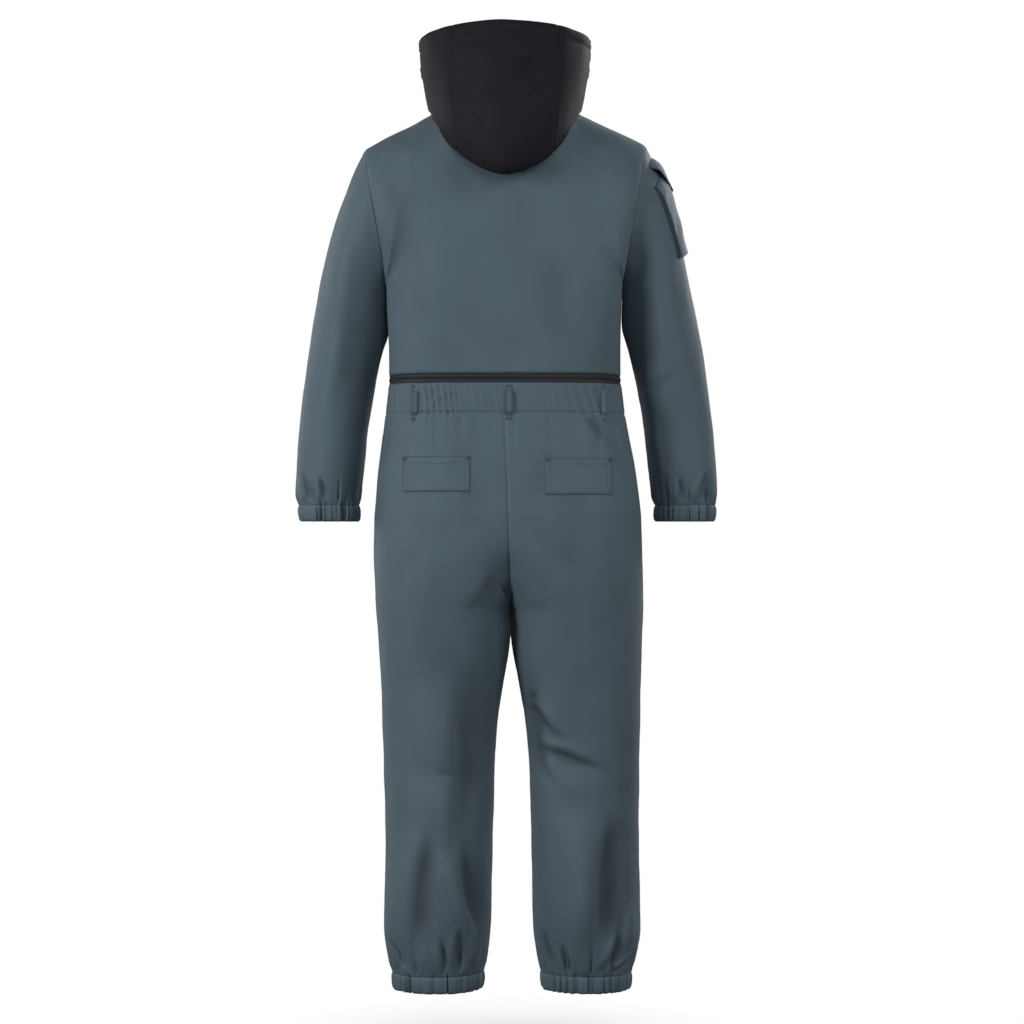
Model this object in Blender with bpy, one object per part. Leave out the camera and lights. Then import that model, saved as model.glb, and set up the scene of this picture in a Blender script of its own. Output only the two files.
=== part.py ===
"""A one-piece snowsuit with a dropped hood, filled out as if worn and hollow inside.

Metres, +Z up. The origin is the middle of the neck's base. The front faces -Y, the back +Y,
and the wearer's left is +X. Every cloth panel is a wall cut from one continuous skin, so
neighbours meet along shared seams. Tables give the skin's sections by their drop below the origin.
"""

from math import acos, cos, exp, pi, radians, sin, sqrt

import bmesh
import bpy
from mathutils import Matrix, Vector

# Cloth
WALL = 0.003
TRIM_WALL = 0.002
ZIP_WALL = 0.0016
SEAM = 0.0003
LAY = 0.0007
MITRE_LEAST = 0.2
MITRE_MOST = 2.0
SHARP_ANGLE = radians(52)

# Neck and shoulders
NECK_HALF_WIDTH = 0.0945
NECK_BACK = 0.070
NECK_FRONT = 0.085
NECK_SIDE_Z = 0.020
NECK_BACK_Z = -0.005
NECK_FRONT_Z = -0.070
NECK_SPREAD = 10.0
TIP_X = 0.2455
TIP_Z = -0.056
RIGHT_TIP_RISE = 0.0065
UNDERARM_X = 0.2045
UNDERARM_Z = -0.290
ARMHOLE_DEPTH = 0.084
UNDERARM_EASE = 2.6
SHOULDER_ARCH = 0.130
SHOULDER_ROUNDNESS = 2.5
YOKE_LEAN = 0.0015

# Waist, fly and hems
ZIP_HALF = 0.0075
ZIP_TOP = 0.4525
ZIP_BOTTOM = 0.4675
BAND_BOTTOM = 0.520
FLY_END = 0.690
FLY_POINT = 0.706
FLY_POINT_HALF = 0.0005
CROTCH = 0.858
LEG_END = 1.492

# Rows and columns of the skin
NECK_COLUMNS = 4
QUARTER = 8
COLUMN_EASE = 0.7
YOKE_STEPS = 8
LEAST_ROW = 0.004
SLEEVE_COLUMNS = 16
CASING_COLUMNS = 24
GATHERS = 8


def table(names, rows):
    """Rows of numbers under named columns, the first of which rises down the rows."""
    return {name: list(values) for name, values in zip(names.split(), zip(*rows))}


# The body and each leg: how far the section reaches outwards, where it is deepest, how far it
# reaches across the middle plane (below nought) or short of it (above nought), backwards and
# forwards, how far the whole leans to +X, how square it is (2 is an ellipse), and how far the
# hem's elastic gathers it into waves.
BODY = table(
    "drop outer deepest inner back front lean roundness gather",
    [
        (0.290, 0.2045, 0.0000, -0.2045, 0.124, 0.128, 0.0015, 4.20, 0),
        (0.330, 0.2030, 0.0000, -0.2030, 0.123, 0.126, 0.0018, 4.00, 0),
        (0.390, 0.2015, 0.0000, -0.2015, 0.120, 0.121, 0.0022, 3.60, 0),
        (0.4525, 0.2015, 0.0000, -0.2015, 0.117, 0.116, 0.0026, 3.00, 0),
        (0.4675, 0.2020, 0.0000, -0.2020, 0.117, 0.115, 0.0026, 3.00, 0),
        (0.520, 0.2080, 0.0000, -0.2080, 0.120, 0.114, 0.0020, 2.90, 0),
        (0.570, 0.2165, 0.0060, -0.2165, 0.128, 0.116, 0.0000, 2.80, 0),
        (0.630, 0.2260, 0.0230, -0.2250, 0.137, 0.118, -0.0025, 2.75, 0),
        (0.690, 0.2320, 0.0490, -0.2230, 0.142, 0.119, -0.0043, 2.70, 0),
        (0.706, 0.2329, 0.0570, -0.1580, 0.142, 0.119, -0.0046, 2.65, 0),
        (0.765, 0.2343, 0.0830, -0.0630, 0.140, 0.118, -0.0056, 2.50, 0),
        (0.812, 0.2342, 0.1010, -0.0255, 0.135, 0.117, -0.0065, 2.40, 0),
        (0.842, 0.2338, 0.1095, -0.0078, 0.130, 0.115, -0.0071, 2.35, 0),
        (0.858, 0.2335, 0.1130, 0.0006, 0.127, 0.114, -0.0075, 2.30, 0),
        (0.900, 0.2315, 0.1165, 0.0016, 0.121, 0.111, -0.0080, 2.25, 0),
        (0.945, 0.2290, 0.1173, 0.0055, 0.115, 0.107, -0.0087, 2.20, 0),
        (1.000, 0.2267, 0.1210, 0.0152, 0.107, 0.104, -0.0091, 2.15, 0),
        (1.060, 0.2248, 0.1240, 0.0232, 0.100, 0.100, -0.0094, 2.15, 0),
        (1.095, 0.2238, 0.1251, 0.0264, 0.097, 0.099, -0.0096, 2.15, 0),
        (1.130, 0.2230, 0.1260, 0.0290, 0.095, 0.097, -0.0098, 2.15, 0),
        (1.175, 0.2223, 0.1268, 0.0314, 0.095, 0.093, -0.0101, 2.15, 0),
        (1.220, 0.2220, 0.1276, 0.0332, 0.095, 0.089, -0.0103, 2.15, 0),
        (1.320, 0.2230, 0.1299, 0.0368, 0.097, 0.081, -0.0105, 2.15, 0),
        (1.400, 0.2240, 0.1309, 0.0378, 0.092, 0.075, -0.0105, 2.15, 0),
        (1.430, 0.2225, 0.1313, 0.0400, 0.087, 0.073, -0.0105, 2.15, 0.0012),
        (1.463, 0.2160, 0.1303, 0.0445, 0.079, 0.069, -0.0105, 2.15, 0.0028),
        (1.492, 0.2085, 0.1298, 0.0510, 0.070, 0.062, -0.0105, 2.15, 0.0022),
    ],
)
LEG_CASING = table(
    "drop outer inner back front gather",
    [
        (1.492, 0.2090, 0.0505, 0.071, 0.063, 0.0022),
        (1.5215, 0.2060, 0.0530, 0.068, 0.060, 0.0030),
    ],
)

# The largest folds of the trousers, soft troughs that cross a panel. Each end lies at a share of
# the panel's width from its middle seam and at a drop, and spread is half the trough's width.
FOLDS = table(
    "side facing start start_drop end end_drop depth spread",
    [
        (-1, 1, 0.02, 1.092, 0.70, 1.150, 0.0060, 0.026),
        (-1, 1, 0.25, 1.215, 0.85, 1.165, 0.0035, 0.030),
        (1, 1, 0.20, 1.172, 0.72, 1.128, 0.0050, 0.030),
        (1, -1, 0.05, 1.100, 0.62, 1.140, 0.0045, 0.028),
        (-1, -1, 0.15, 1.178, 0.80, 1.132, 0.0050, 0.028),
    ],
)

# Each sleeve ring runs from an outer to an inner point, with a half depth, a middle and the
# depth of its gathers. The first ring is the armhole, half an ellipse from the tip to the underarm.
SLEEVE = table(
    "ring outer_x outer_z inner_x inner_z depth middle gather",
    [
        (0, TIP_X, TIP_Z, UNDERARM_X, UNDERARM_Z, ARMHOLE_DEPTH, 0.000, 0),
        (1, 0.2710, -0.1060, 0.2052, -0.3000, 0.085, -0.008, 0),
        (2, 0.2940, -0.1690, 0.2046, -0.3120, 0.084, -0.018, 0),
        (3, 0.3125, -0.2350, 0.2038, -0.3270, 0.082, -0.026, 0),
        (4, 0.3265, -0.2990, 0.2034, -0.3470, 0.079, -0.031, 0),
        (5, 0.3385, -0.3640, 0.2052, -0.3720, 0.076, -0.034, 0),
        (6, 0.3485, -0.4290, 0.2175, -0.4140, 0.072, -0.035, 0),
        (7, 0.3570, -0.4940, 0.2310, -0.4740, 0.068, -0.035, 0),
        (8, 0.3630, -0.5500, 0.2425, -0.5410, 0.064, -0.034, 0),
        (9, 0.3670, -0.6050, 0.2478, -0.6050, 0.061, -0.032, 0),
        (10, 0.3685, -0.6500, 0.2530, -0.6500, 0.056, -0.030, 0.0015),
        (11, 0.3640, -0.6780, 0.2555, -0.6780, 0.050, -0.029, 0.0020),
    ],
)
CUFF_CASING = table(
    "drop outer inner back front gather",
    [
        (0.678, 0.3640, 0.2550, 0.021, 0.079, 0.0020),
        (0.7065, 0.3615, 0.2560, 0.019, 0.077, 0.0030),
    ],
)
SLEEVE_SWAY = 0.0065

# The hood from the neck's seam, over its fold, down its inner layer, round its bottom and up to
# its rim: half its width, its reach backwards and forwards, and its height at the back, the side
# and the front. side_y is how far back its widest point lies.
HOOD = table(
    "row half_width back front back_z side_z front_z side_y",
    [
        (0, NECK_HALF_WIDTH, NECK_BACK, NECK_FRONT, NECK_BACK_Z, NECK_SIDE_Z, NECK_FRONT_Z, 0.000),
        (1, 0.1010, 0.080, 0.092, 0.018, 0.040, -0.042, 0.001),
        (2, 0.1150, 0.105, 0.104, 0.010, 0.040, -0.018, 0.003),
        (3, 0.1250, 0.133, 0.113, -0.024, 0.030, -0.002, 0.008),
        (4, 0.1270, 0.155, 0.116, -0.076, 0.019, 0.004, 0.016),
        (5, 0.1290, 0.171, 0.118, -0.121, -0.012, 0.009, 0.013),
        (6, 0.1308, 0.190, 0.119, -0.104, 0.002, 0.014, 0.016),
        (7, 0.1385, 0.202, 0.118, -0.048, 0.036, 0.019, 0.020),
        (8, 0.1460, 0.200, 0.116, 0.028, 0.080, 0.025, 0.025),
        (9, 0.1475, 0.187, 0.113, 0.104, 0.113, 0.030, 0.028),
        (10, 0.1475, 0.176, 0.111, 0.139, 0.129, 0.033, 0.030),
    ],
)
HOOD_RIM_ROW = 10
HOOD_SEAMED_ROW = 6
HOOD_CENTRE_ANGLE = 38.0
HOOD_CENTRE_COLUMNS = 2
HOOD_LIFT = 0.0008
HOOD_REST = 0.0085
HOOD_PARTING = 0.016

# Patches on the seat: the side, the middle, the width and the ends
BACK_POCKETS = table(
    "side middle width top bottom",
    [(1, 0.1180, 0.116, 0.5945, 0.6560), (-1, -0.1240, 0.116, 0.5975, 0.6610)],
)
POCKET_COLUMNS = 8
POCKET_ROWS = 3

# Belt loops: where each lies across the back, and how far its strip stands off along its length
BELT_LOOPS = {"belt_loop_left": 0.156, "belt_loop_centre": -0.0055, "belt_loop_right": -0.168}
LOOP_WIDTH = 0.011
LOOP_TOP = 0.4725
LOOP_BOTTOM = 0.5330
LOOP_GAP = 0.0080
LOOP_PROFILE = table(
    "along height",
    [(0.0, 0.0), (0.13, 0.0), (0.22, 1.0), (0.5, 1.0), (0.78, 1.0), (0.87, 0.0), (1.0, 0.0)],
)

# The sleeve's bellows pocket and flap: rings down the sleeve and degrees round it, from its
# outside towards its front, with the share of the bulge that each reaches
SLEEVE_POCKET_BULGE = 0.0070
SLEEVE_POCKET_DOWN = table(
    "ring height", [(0.92, 0.35), (1.42, 0.68), (2.18, 1.0), (2.94, 1.0), (3.04, 0.0)]
)
SLEEVE_POCKET_ROUND = table(
    "turn height", [(-43, 0), (-40, 1), (-29, 1), (-18, 1), (-7, 1), (4, 1), (15, 1), (29, 1), (32, 0)]
)
FLAP_DOWN = table("ring height", [(0.38, 0.0), (0.60, 0.75), (0.84, 1.0), (1.13, 1.0), (1.42, 1.0)])
FLAP_BACK_TURNS = (-37, -6)
FLAP_FRONT_TURN = 35
FLAP_COLUMNS = 6

# Zip sliders and pull tabs
SLIDER = Vector((0.0100, 0.0135, 0.0036))
SLIDER_FOOT = SEAM + LAY
BRIDGE_HALF = 0.0011
BRIDGE_LENGTH = 0.0096
BRIDGE_HEIGHT = 0.0048
AXLE = 0.0007
TAB = Vector((0.0088, 0.0330, 0.0016))
TAB_WINDOW = Vector((0.0048, 0.0072))
BITE = 0.001
FRONT_SLIDER_DROP = 0.090
WAIST_SLIDER_X = 0.0215

# Base colour, roughness and metallic value
FINISHES = {
    "shell": ((0.065, 0.100, 0.125), 0.80, 0.0),
    "hood": ((0.012, 0.011, 0.016), 0.75, 0.0),
    "tape": ((0.012, 0.014, 0.018), 0.65, 0.0),
    "metal": ((0.030, 0.032, 0.036), 0.40, 0.8),
}


def read(rows, at):
    """All the columns of a table at one value of the first, on a smooth curve through the rows."""
    keys = next(iter(rows.values()))
    last = len(keys) - 1
    i = next((k for k in range(last - 1, 0, -1) if at >= keys[k]), 0)
    width = keys[i + 1] - keys[i]
    t = (at - keys[i]) / width
    found = {}
    for name, values in rows.items():

        def slope(k):
            low, high = max(k - 1, 0), min(k + 1, last)
            return (values[high] - values[low]) / (keys[high] - keys[low]) * width

        found[name] = (
            (1 + 2 * t) * (1 - t) ** 2 * values[i]
            + t * (1 - t) ** 2 * slope(i)
            + t * t * (3 - 2 * t) * values[i + 1]
            + t * t * (t - 1) * slope(i + 1)
        )
    return found


def power(value, exponent):
    """A power that keeps the sign of its base."""
    return abs(value) ** exponent * (1 if value >= 0 else -1)


def fullness(u, roundness):
    """How deep a section is at u of its half width, as a share of its full depth."""
    return max(0.0, 1 - abs(u) ** roundness) ** (1 / roundness)


def smooth(value, span):
    """0 at a value of nought, 1 from the span on, and level at both ends."""
    share = min(max(value / span, 0.0), 1.0)
    return share * share * (3 - 2 * share)


def mix(start, end, share):
    """The value at a share of the way from the start to the end."""
    return start + (end - start) * share


def spaced(start, end, steps):
    """Evenly spaced values from start to end."""
    return [mix(start, end, k / steps) for k in range(steps + 1)]


# --- The skin's surfaces ----------------------------------------------------------------------


def column_share(c, alpha):
    """Where column c lies across the yoke: 0 is the middle and 1 the armhole.

    The first columns crowd into the neck at the top, and all of them spread out evenly below.
    """
    neck = NECK_COLUMNS / QUARTER
    neck_share = NECK_HALF_WIDTH / TIP_X
    if c < neck:
        top = neck_share * sin(pi / 2 * c / neck)
    else:
        top = neck_share + (1 - neck_share) * (c - neck) / (1 - neck)
    low = power(sin(pi / 2 * c), 2 / BODY["roundness"][0])
    ease = (1 - cos(min(alpha, pi))) / 2
    return top + (low - top) * ease**COLUMN_EASE


def armhole_x(alpha):
    """Half the yoke's width. alpha is 0 at the shoulder and pi at the underarm."""
    return UNDERARM_X + (TIP_X - UNDERARM_X) * (1 + cos(alpha)) / 2


def tip_rise(side):
    """How much higher the shoulder's tip lies on the wearer's right than on the left."""
    return RIGHT_TIP_RISE if side < 0 else 0.0


def yoke_at(u, alpha, side, facing):
    """A point above the underarm, at u of the way from the middle plane to the armhole."""
    neck = TIP_X * u / NECK_HALF_WIDTH
    neck_z = NECK_BACK_Z if facing > 0 else NECK_FRONT_Z
    if neck < 1:
        top_z = NECK_SIDE_Z + (neck_z - NECK_SIDE_Z) * (1 - neck**2)
    else:
        slope = (TIP_Z + tip_rise(side) - NECK_SIDE_Z) / (TIP_X - NECK_HALF_WIDTH)
        top_z = NECK_SIDE_Z + slope * (TIP_X * u - NECK_HALF_WIDTH)
    lowered = (1 - cos(alpha)) / 2
    fall = (top_z - UNDERARM_Z) * lowered
    arch = sqrt(1 - (1 - min(fall / SHOULDER_ARCH, 1.0)) ** 2)
    spread = NECK_SPREAD * fall
    neck_y = NECK_BACK if facing > 0 else NECK_FRONT
    neck_y *= max(0.0, 1 - (neck / (1 + spread)) ** 2) ** (0.5 + spread)
    deep = BODY["back" if facing > 0 else "front"][0]
    squareness = SHOULDER_ROUNDNESS + (BODY["roundness"][0] - SHOULDER_ROUNDNESS) * lowered**2
    full = fullness(u, squareness)
    y = neck_y * (1 - arch) + arch * deep * full
    ease = smooth((1 + cos(alpha)) / 2, max(UNDERARM_EASE * (1 - u), 1e-6))
    y += ARMHOLE_DEPTH * sin(alpha) * ease * (1 - full)
    return Vector((YOKE_LEAN + side * u * armhole_x(alpha), facing * y, top_z - fall))


def yoke(c, alpha, side, facing):
    """The yoke's point in column c. The front's middle column runs beside the zip."""
    u = column_share(c, alpha)
    if facing < 0:
        u += max(0.0, 1 - c * QUARTER / NECK_COLUMNS) * ZIP_HALF / armhole_x(alpha)
    return yoke_at(u, alpha, side, facing)


def shoulder_top(x, y):
    """How high the shoulders, chest and back stand over a point of the plan, or None."""
    across, facing = abs(x - YOKE_LEAN), 1 if y > 0 else -1
    least, most, halvings = 1e-4, pi / 2, 24
    low, high = 0.0, most
    for _ in range(halvings):
        alpha = (low + high) / 2
        point = yoke_at(across / armhole_x(alpha), alpha, 1, facing)
        low, high = (alpha, high) if abs(point.y) < abs(y) else (low, alpha)
    return point.z if least < low and high < most - least else None


def half_width(row, across):
    """How far the section reaches from its deepest point, outwards or inwards."""
    return abs((row["outer"] if across > row["deepest"] else row["inner"]) - row["deepest"])


def section(row, c, side, facing, below, cut):
    """A point of the body's or a leg's section: c is 0 at its middle seam and 1 at its side.

    below is 0 at the waist and 1 from the crotch down. Near the crotch the columns crowd towards
    the middle seam, so that those of the seat run straight on into those of the leg.
    """
    roundness = row["roundness"]
    reach = max(-1.0, (cut - row["deepest"]) / half_width(row, cut))
    last = acos(power(reach, roundness / 2))
    crowding = 1 + (pi / last - 1) * below
    angle = last * (1 - c**crowding)
    wave = row["gather"] * cos(pi * QUARTER * c)
    turn = cos(angle)
    half = half_width(row, row["deepest"] + turn) + wave
    x = row["deepest"] + half * power(turn, 2 / roundness)
    deep = (row["back"] if facing > 0 else row["front"]) + wave
    return Vector((row["lean"] + side * x, facing * deep * power(sin(angle), 2 / roundness), -row["drop"]))


def below_waist(drop):
    """0 down to the waistband's lower edge, 1 from the crotch on, and smooth between."""
    return smooth(drop - BAND_BOTTOM, CROTCH - BAND_BOTTOM)


def opening(drop):
    """Half the width of the front's opening, which the zip fills and which ends in a point."""
    if drop <= FLY_END:
        return ZIP_HALF
    if drop <= FLY_POINT:
        return ZIP_HALF + (FLY_POINT_HALF - ZIP_HALF) * (drop - FLY_END) / (FLY_POINT - FLY_END)
    return 0.0


def fold_depth(c, drop, side, facing):
    """How far the folds draw a trouser panel in."""
    found = 0.0
    for on_side, on_facing, start, start_drop, end, end_drop, depth, spread in zip(*FOLDS.values()):
        along = (c - start) / (end - start)
        if (on_side, on_facing) == (side, facing) and 0 < along < 1:
            off = (drop - start_drop - along * (end_drop - start_drop)) / spread
            found += depth * sin(pi * along) * exp(-off * off)
    return found


def body(c, drop, side, facing):
    """A point of the body or a leg at this drop. The front's middle edge stops at the zip."""
    cut = opening(drop) if facing < 0 else 0.0
    point = section(read(BODY, drop), c, side, facing, below_waist(drop), cut)
    point.y -= facing * fold_depth(c, drop, side, facing)
    return point


def sway(side):
    """How far a cuff hangs out from the body. The right sleeve's hangs further."""
    return SLEEVE_SWAY if side < 0 else 0.0


def sleeve(ring, angle, side):
    """A point of a sleeve: the angle is 0 outside, 90 degrees behind and 180 at the inner side."""
    row = read(SLEEVE, ring)
    wave = row["gather"] * cos(GATHERS * angle)
    outer, inner = (1 + cos(angle)) / 2, (1 - cos(angle)) / 2
    x = row["outer_x"] * outer + row["inner_x"] * inner + wave * cos(angle)
    x += sway(side) * (ring / SLEEVE["ring"][-1]) ** 2
    y = row["middle"] + (row["depth"] + wave) * sin(angle)
    z = row["outer_z"] * outer + row["inner_z"] * inner + tip_rise(side) * max(0.0, 1 - ring) * outer
    return Vector((YOKE_LEAN + side * x, y, z))


def hood(row_at, angle):
    """A point of the hood: the angle is 0 at the back and 180 degrees at the front, with sides."""
    row = read(HOOD, row_at)
    side = 1 if angle >= 0 else -1
    x = row["half_width"] * abs(sin(angle))
    back = abs(angle) < pi / 2
    if not back:
        x += (ZIP_HALF + HOOD_PARTING * (row_at / HOOD_RIM_ROW) ** 2) * (2 * abs(angle) / pi - 1)
    reach = row["back"] - row["side_y"] if back else -row["front"] - row["side_y"]
    height = row["back_z"] if back else row["front_z"]
    along = sqrt(max(0.0, 1 - (x / row["half_width"]) ** 2))
    z = row["side_z"] + (height - row["side_z"]) * along**2
    point = Vector((YOKE_LEAN + side * x, row["side_y"] + reach * along, z))
    under = shoulder_top(point.x, point.y)
    if under is not None:
        point.z = max(point.z, under + HOOD_REST * min(row_at, 1.0))
    point.z += HOOD_LIFT
    return point


def back_surface(drop, across):
    """The body's back at a drop, and at a distance across towards -X from the middle plane."""
    row = read(BODY, drop)
    off = (abs(across) - row["deepest"]) / half_width(row, abs(across))
    depth = row["back"] * fullness(off, row["roundness"])
    return Vector((row["lean"] - across, depth, -drop))


# --- Cutting the skin into panels -------------------------------------------------------------


class Skin:
    """Grids of points that share their seams. Rows run down, and columns anticlockwise from above."""

    def __init__(self):
        self.points = []
        self.numbers = {}
        self.panels = {}

    def number(self, point):
        key = tuple(round(value, 5) for value in point)
        if key not in self.numbers:
            self.numbers[key] = len(self.points)
            self.points.append(point)
        return self.numbers[key]

    def add(self, name, grid, wall, material, closed=False, level_end=False):
        ids = [[self.number(point) for point in row] for row in grid]
        self.panels[name] = (ids, wall, material, closed, level_end)

    def corner_normals(self, ids, closed):
        """Each point's face normals within one panel."""
        found = {}
        columns = len(ids[0])
        for i in range(len(ids) - 1):
            for j in range(columns if closed else columns - 1):
                k = (j + 1) % columns
                corners = [ids[i][j], ids[i + 1][j], ids[i + 1][k], ids[i][k]]
                a, b, c, d = (self.points[corner] for corner in corners)
                normal = (c - a).cross(d - b)
                if normal.length > 0:
                    for corner in corners:
                        found.setdefault(corner, []).append(normal.normalized())
        return found

    def cut(self, parts):
        """Makes each panel a closed wall, mitred with its neighbours where they bend outwards."""
        own = {name: self.corner_normals(p[0], p[3]) for name, p in self.panels.items()}
        shared = {}
        for normals in own.values():
            for k, found in normals.items():
                shared.setdefault(k, []).extend(found)
        for name, (ids, wall, material, closed, level_end) in self.panels.items():
            rows, columns = len(ids), len(ids[0])

            def inward(i, j):
                """Into the wall: square to this panel and to the ones that go on from it."""
                k = ids[i][j]
                mine = sum(own[name][k], Vector()).normalized()
                met = [normal for normal in shared[k] if normal.dot(mine) > MITRE_LEAST]
                mean = sum(met, Vector()).normalized()
                step = mean * min(len(met) / sum(mean.dot(normal) for normal in met), MITRE_MOST)
                if level_end and i == rows - 1:
                    step.z = 0
                return -wall * step

            def trimmed(i, j):
                """The point, drawn in by half the seam's gap on the panel's edges."""
                point = self.points[ids[i][j]]
                near_i = min(max(i, 1), rows - 2) if rows > 2 else 1 - i
                near_j = j if closed else min(max(j, 1), columns - 2) if columns > 2 else 1 - j
                moved = point.copy()
                for k in {ids[near_i][j], ids[i][near_j]}:
                    away = self.points[k] - point
                    if away.length > SEAM:
                        moved += away.normalized() * SEAM / 2
                return moved

            outer = [[trimmed(i, j) for j in range(columns)] for i in range(rows)]
            inner = [[outer[i][j] + inward(i, j) for j in range(columns)] for i in range(rows)]
            wall_between(name, outer, inner, closed, material, parts)


def wall_between(name, outer, inner, closed, material, parts):
    """A closed solid between two grids of points, with rims round its open edges."""
    mesh = bmesh.new()
    skins = [[[mesh.verts.new(point) for point in row] for row in grid] for grid in (outer, inner)]
    rows, columns = len(outer), len(outer[0])
    spans = columns if closed else columns - 1
    for i in range(rows - 1):
        for j in range(spans):
            k = (j + 1) % columns
            for skin in skins:
                mesh.faces.new((skin[i][j], skin[i + 1][j], skin[i + 1][k], skin[i][k]))
    # Each rim's diagonals run the same way, so that neighbours' twisted rims stay parallel.
    rims = [[(i, j), (i, (j + 1) % columns)] for i in (0, rows - 1) for j in range(spans)]
    if not closed:
        rims += [[(i, j), (i + 1, j)] for j in (0, columns - 1) for i in range(rows - 1)]
    for (i, j), (p, q) in rims:
        a, b, c, d = skins[0][i][j], skins[0][p][q], skins[1][p][q], skins[1][i][j]
        mesh.faces.new((a, b, c))
        mesh.faces.new((a, c, d))
    bmesh.ops.recalc_face_normals(mesh, faces=mesh.faces)
    finish(mesh, name, material, parts)


def finish(mesh, name, material, parts):
    """Turns a bmesh into a named object with its material, smooth but for its sharp edges."""
    data = bpy.data.meshes.new(name)
    mesh.to_mesh(data)
    mesh.free()
    data.materials.append(material)
    data.shade_smooth()
    data.set_sharp_from_angle(angle=SHARP_ANGLE)
    made = bpy.data.objects.new(name, data)
    parts.objects.link(made)
    return made


# --- Panels of the body, sleeves and legs -----------------------------------------------------


SHARES = spaced(0, 1, QUARTER)
ALPHAS = [pi * k / YOKE_STEPS for k in range(YOKE_STEPS)]


def drops(top, bottom):
    """The skin's rows between two drops: the table's own, and the ends."""
    inner = [d for d in BODY["drop"] if top + LEAST_ROW < d < bottom - LEAST_ROW]
    return [top, *inner, bottom]


def both_sides(make):
    """A row of the back from the wearer's left side to the right one. make takes c and a side."""
    return [make(c, 1) for c in SHARES[::-1]] + [make(c, -1) for c in SHARES[1:]]


def upper_front(side):
    """One front of the top, from its shoulder to the waist zip, from the front zip to its side."""
    grid = [[yoke(c, alpha, side, -1) for c in SHARES] for alpha in ALPHAS]
    grid += [[body(c, d, side, -1) for c in SHARES] for d in drops(-UNDERARM_Z, ZIP_TOP)]
    return grid if side > 0 else [row[::-1] for row in grid]


def upper_back():
    """The one-piece back of the top."""
    grid = [both_sides(lambda c, side: yoke(c, alpha, side, 1)) for alpha in ALPHAS]
    return grid + [both_sides(lambda c, side: body(c, d, side, 1)) for d in drops(-UNDERARM_Z, ZIP_TOP)]


def band(levels):
    """A strip right round the body, from the left front edge round the back to the right one."""
    return [
        [body(c, d, 1, -1) for c in SHARES[:-1]]
        + both_sides(lambda c, side: body(c, d, side, 1))
        + [body(c, d, -1, -1) for c in SHARES[-2::-1]]
        for d in levels
    ]


def trouser(side, facing):
    """One quarter of the trousers, from the waistband to the hem's casing."""
    grid = [[body(c, d, side, facing) for c in SHARES] for d in drops(BAND_BOTTOM, LEG_END)]
    return grid if side * facing < 0 else [row[::-1] for row in grid]


def sleeve_tube(side):
    """The sleeve's rings, each anticlockwise from above."""
    turns = [2 * pi * k / SLEEVE_COLUMNS * side for k in range(SLEEVE_COLUMNS)]
    return [[sleeve(ring, turn, side) for turn in turns] for ring in SLEEVE["ring"]]


def front_zip_strip():
    """The front zip's two edges, down the middle from the neck to the fly's point."""
    edge = [row[0] for row in upper_front(1)]
    edge += [body(0, d, 1, -1) for d in drops(ZIP_BOTTOM, FLY_POINT)]
    strip = []
    for point in edge:
        middle = YOKE_LEAN if point.z >= UNDERARM_Z else read(BODY, -point.z)["lean"]
        strip.append([Vector((2 * middle - point.x, point.y, point.z)), point])
    return strip


def make_skin(parts, materials):
    """Every panel that meets another along a seam."""
    shell, tape = materials["shell"], materials["tape"]
    skin = Skin()
    skin.add("back_upper", upper_back(), WALL, shell)
    for side, name in ((1, "left"), (-1, "right")):
        skin.add(f"front_upper_{name}", upper_front(side), WALL, shell)
        skin.add(f"sleeve_{name}", sleeve_tube(side), WALL, shell, closed=True, level_end=True)
        skin.add(f"trouser_back_{name}", trouser(side, 1), WALL, shell, level_end=True)
        skin.add(f"trouser_front_{name}", trouser(side, -1), WALL, shell, level_end=True)
    skin.add("waist_zip", band([ZIP_TOP, ZIP_BOTTOM]), ZIP_WALL, tape)
    skin.add("front_zip", front_zip_strip(), ZIP_WALL, tape)
    waistband = band([ZIP_BOTTOM, (ZIP_BOTTOM + BAND_BOTTOM) / 2, BAND_BOTTOM])
    left, right = QUARTER, 3 * QUARTER
    skin.add("waistband_front_left", [row[: left + 1] for row in waistband], WALL, shell)
    skin.add("waistband_back", [row[left : right + 1] for row in waistband], WALL, shell)
    skin.add("waistband_front_right", [row[right:] for row in waistband], WALL, shell)
    skin.cut(parts)


# --- Hood and casings -------------------------------------------------------------------------


def hood_angles(row_at):
    """The hood's columns: even round the neck, and drawn to its panels' seams by its bottom."""
    steps = 2 * NECK_COLUMNS
    eased = min(row_at / HOOD_SEAMED_ROW, 1.0)
    found = []
    for k in range(steps + 1):
        even = 180 * k / steps
        if k <= HOOD_CENTRE_COLUMNS:
            seamed = HOOD_CENTRE_ANGLE * k / HOOD_CENTRE_COLUMNS
        else:
            share = (k - HOOD_CENTRE_COLUMNS) / (steps - HOOD_CENTRE_COLUMNS)
            seamed = HOOD_CENTRE_ANGLE + (180 - HOOD_CENTRE_ANGLE) * share
        found.append(radians(even + (seamed - even) * eased))
    return found


def make_hood(parts, materials):
    """The hood's centre panel and its two sides, from the neck's seam to the rim."""
    centre, left, right = [], [], []
    for row_at in HOOD["row"]:
        angles = hood_angles(row_at)
        middle, side = angles[: HOOD_CENTRE_COLUMNS + 1], angles[HOOD_CENTRE_COLUMNS:]
        centre.append([hood(row_at, -a) for a in middle[:0:-1]] + [hood(row_at, a) for a in middle])
        left.append([hood(row_at, a) for a in side])
        right.append([hood(row_at, -a) for a in side[::-1]])
    skin = Skin()
    skin.add("hood_centre", centre, TRIM_WALL, materials["hood"])
    skin.add("hood_side_left", left, TRIM_WALL, materials["hood"])
    skin.add("hood_side_right", right, TRIM_WALL, materials["hood"])
    skin.cut(parts)


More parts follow.
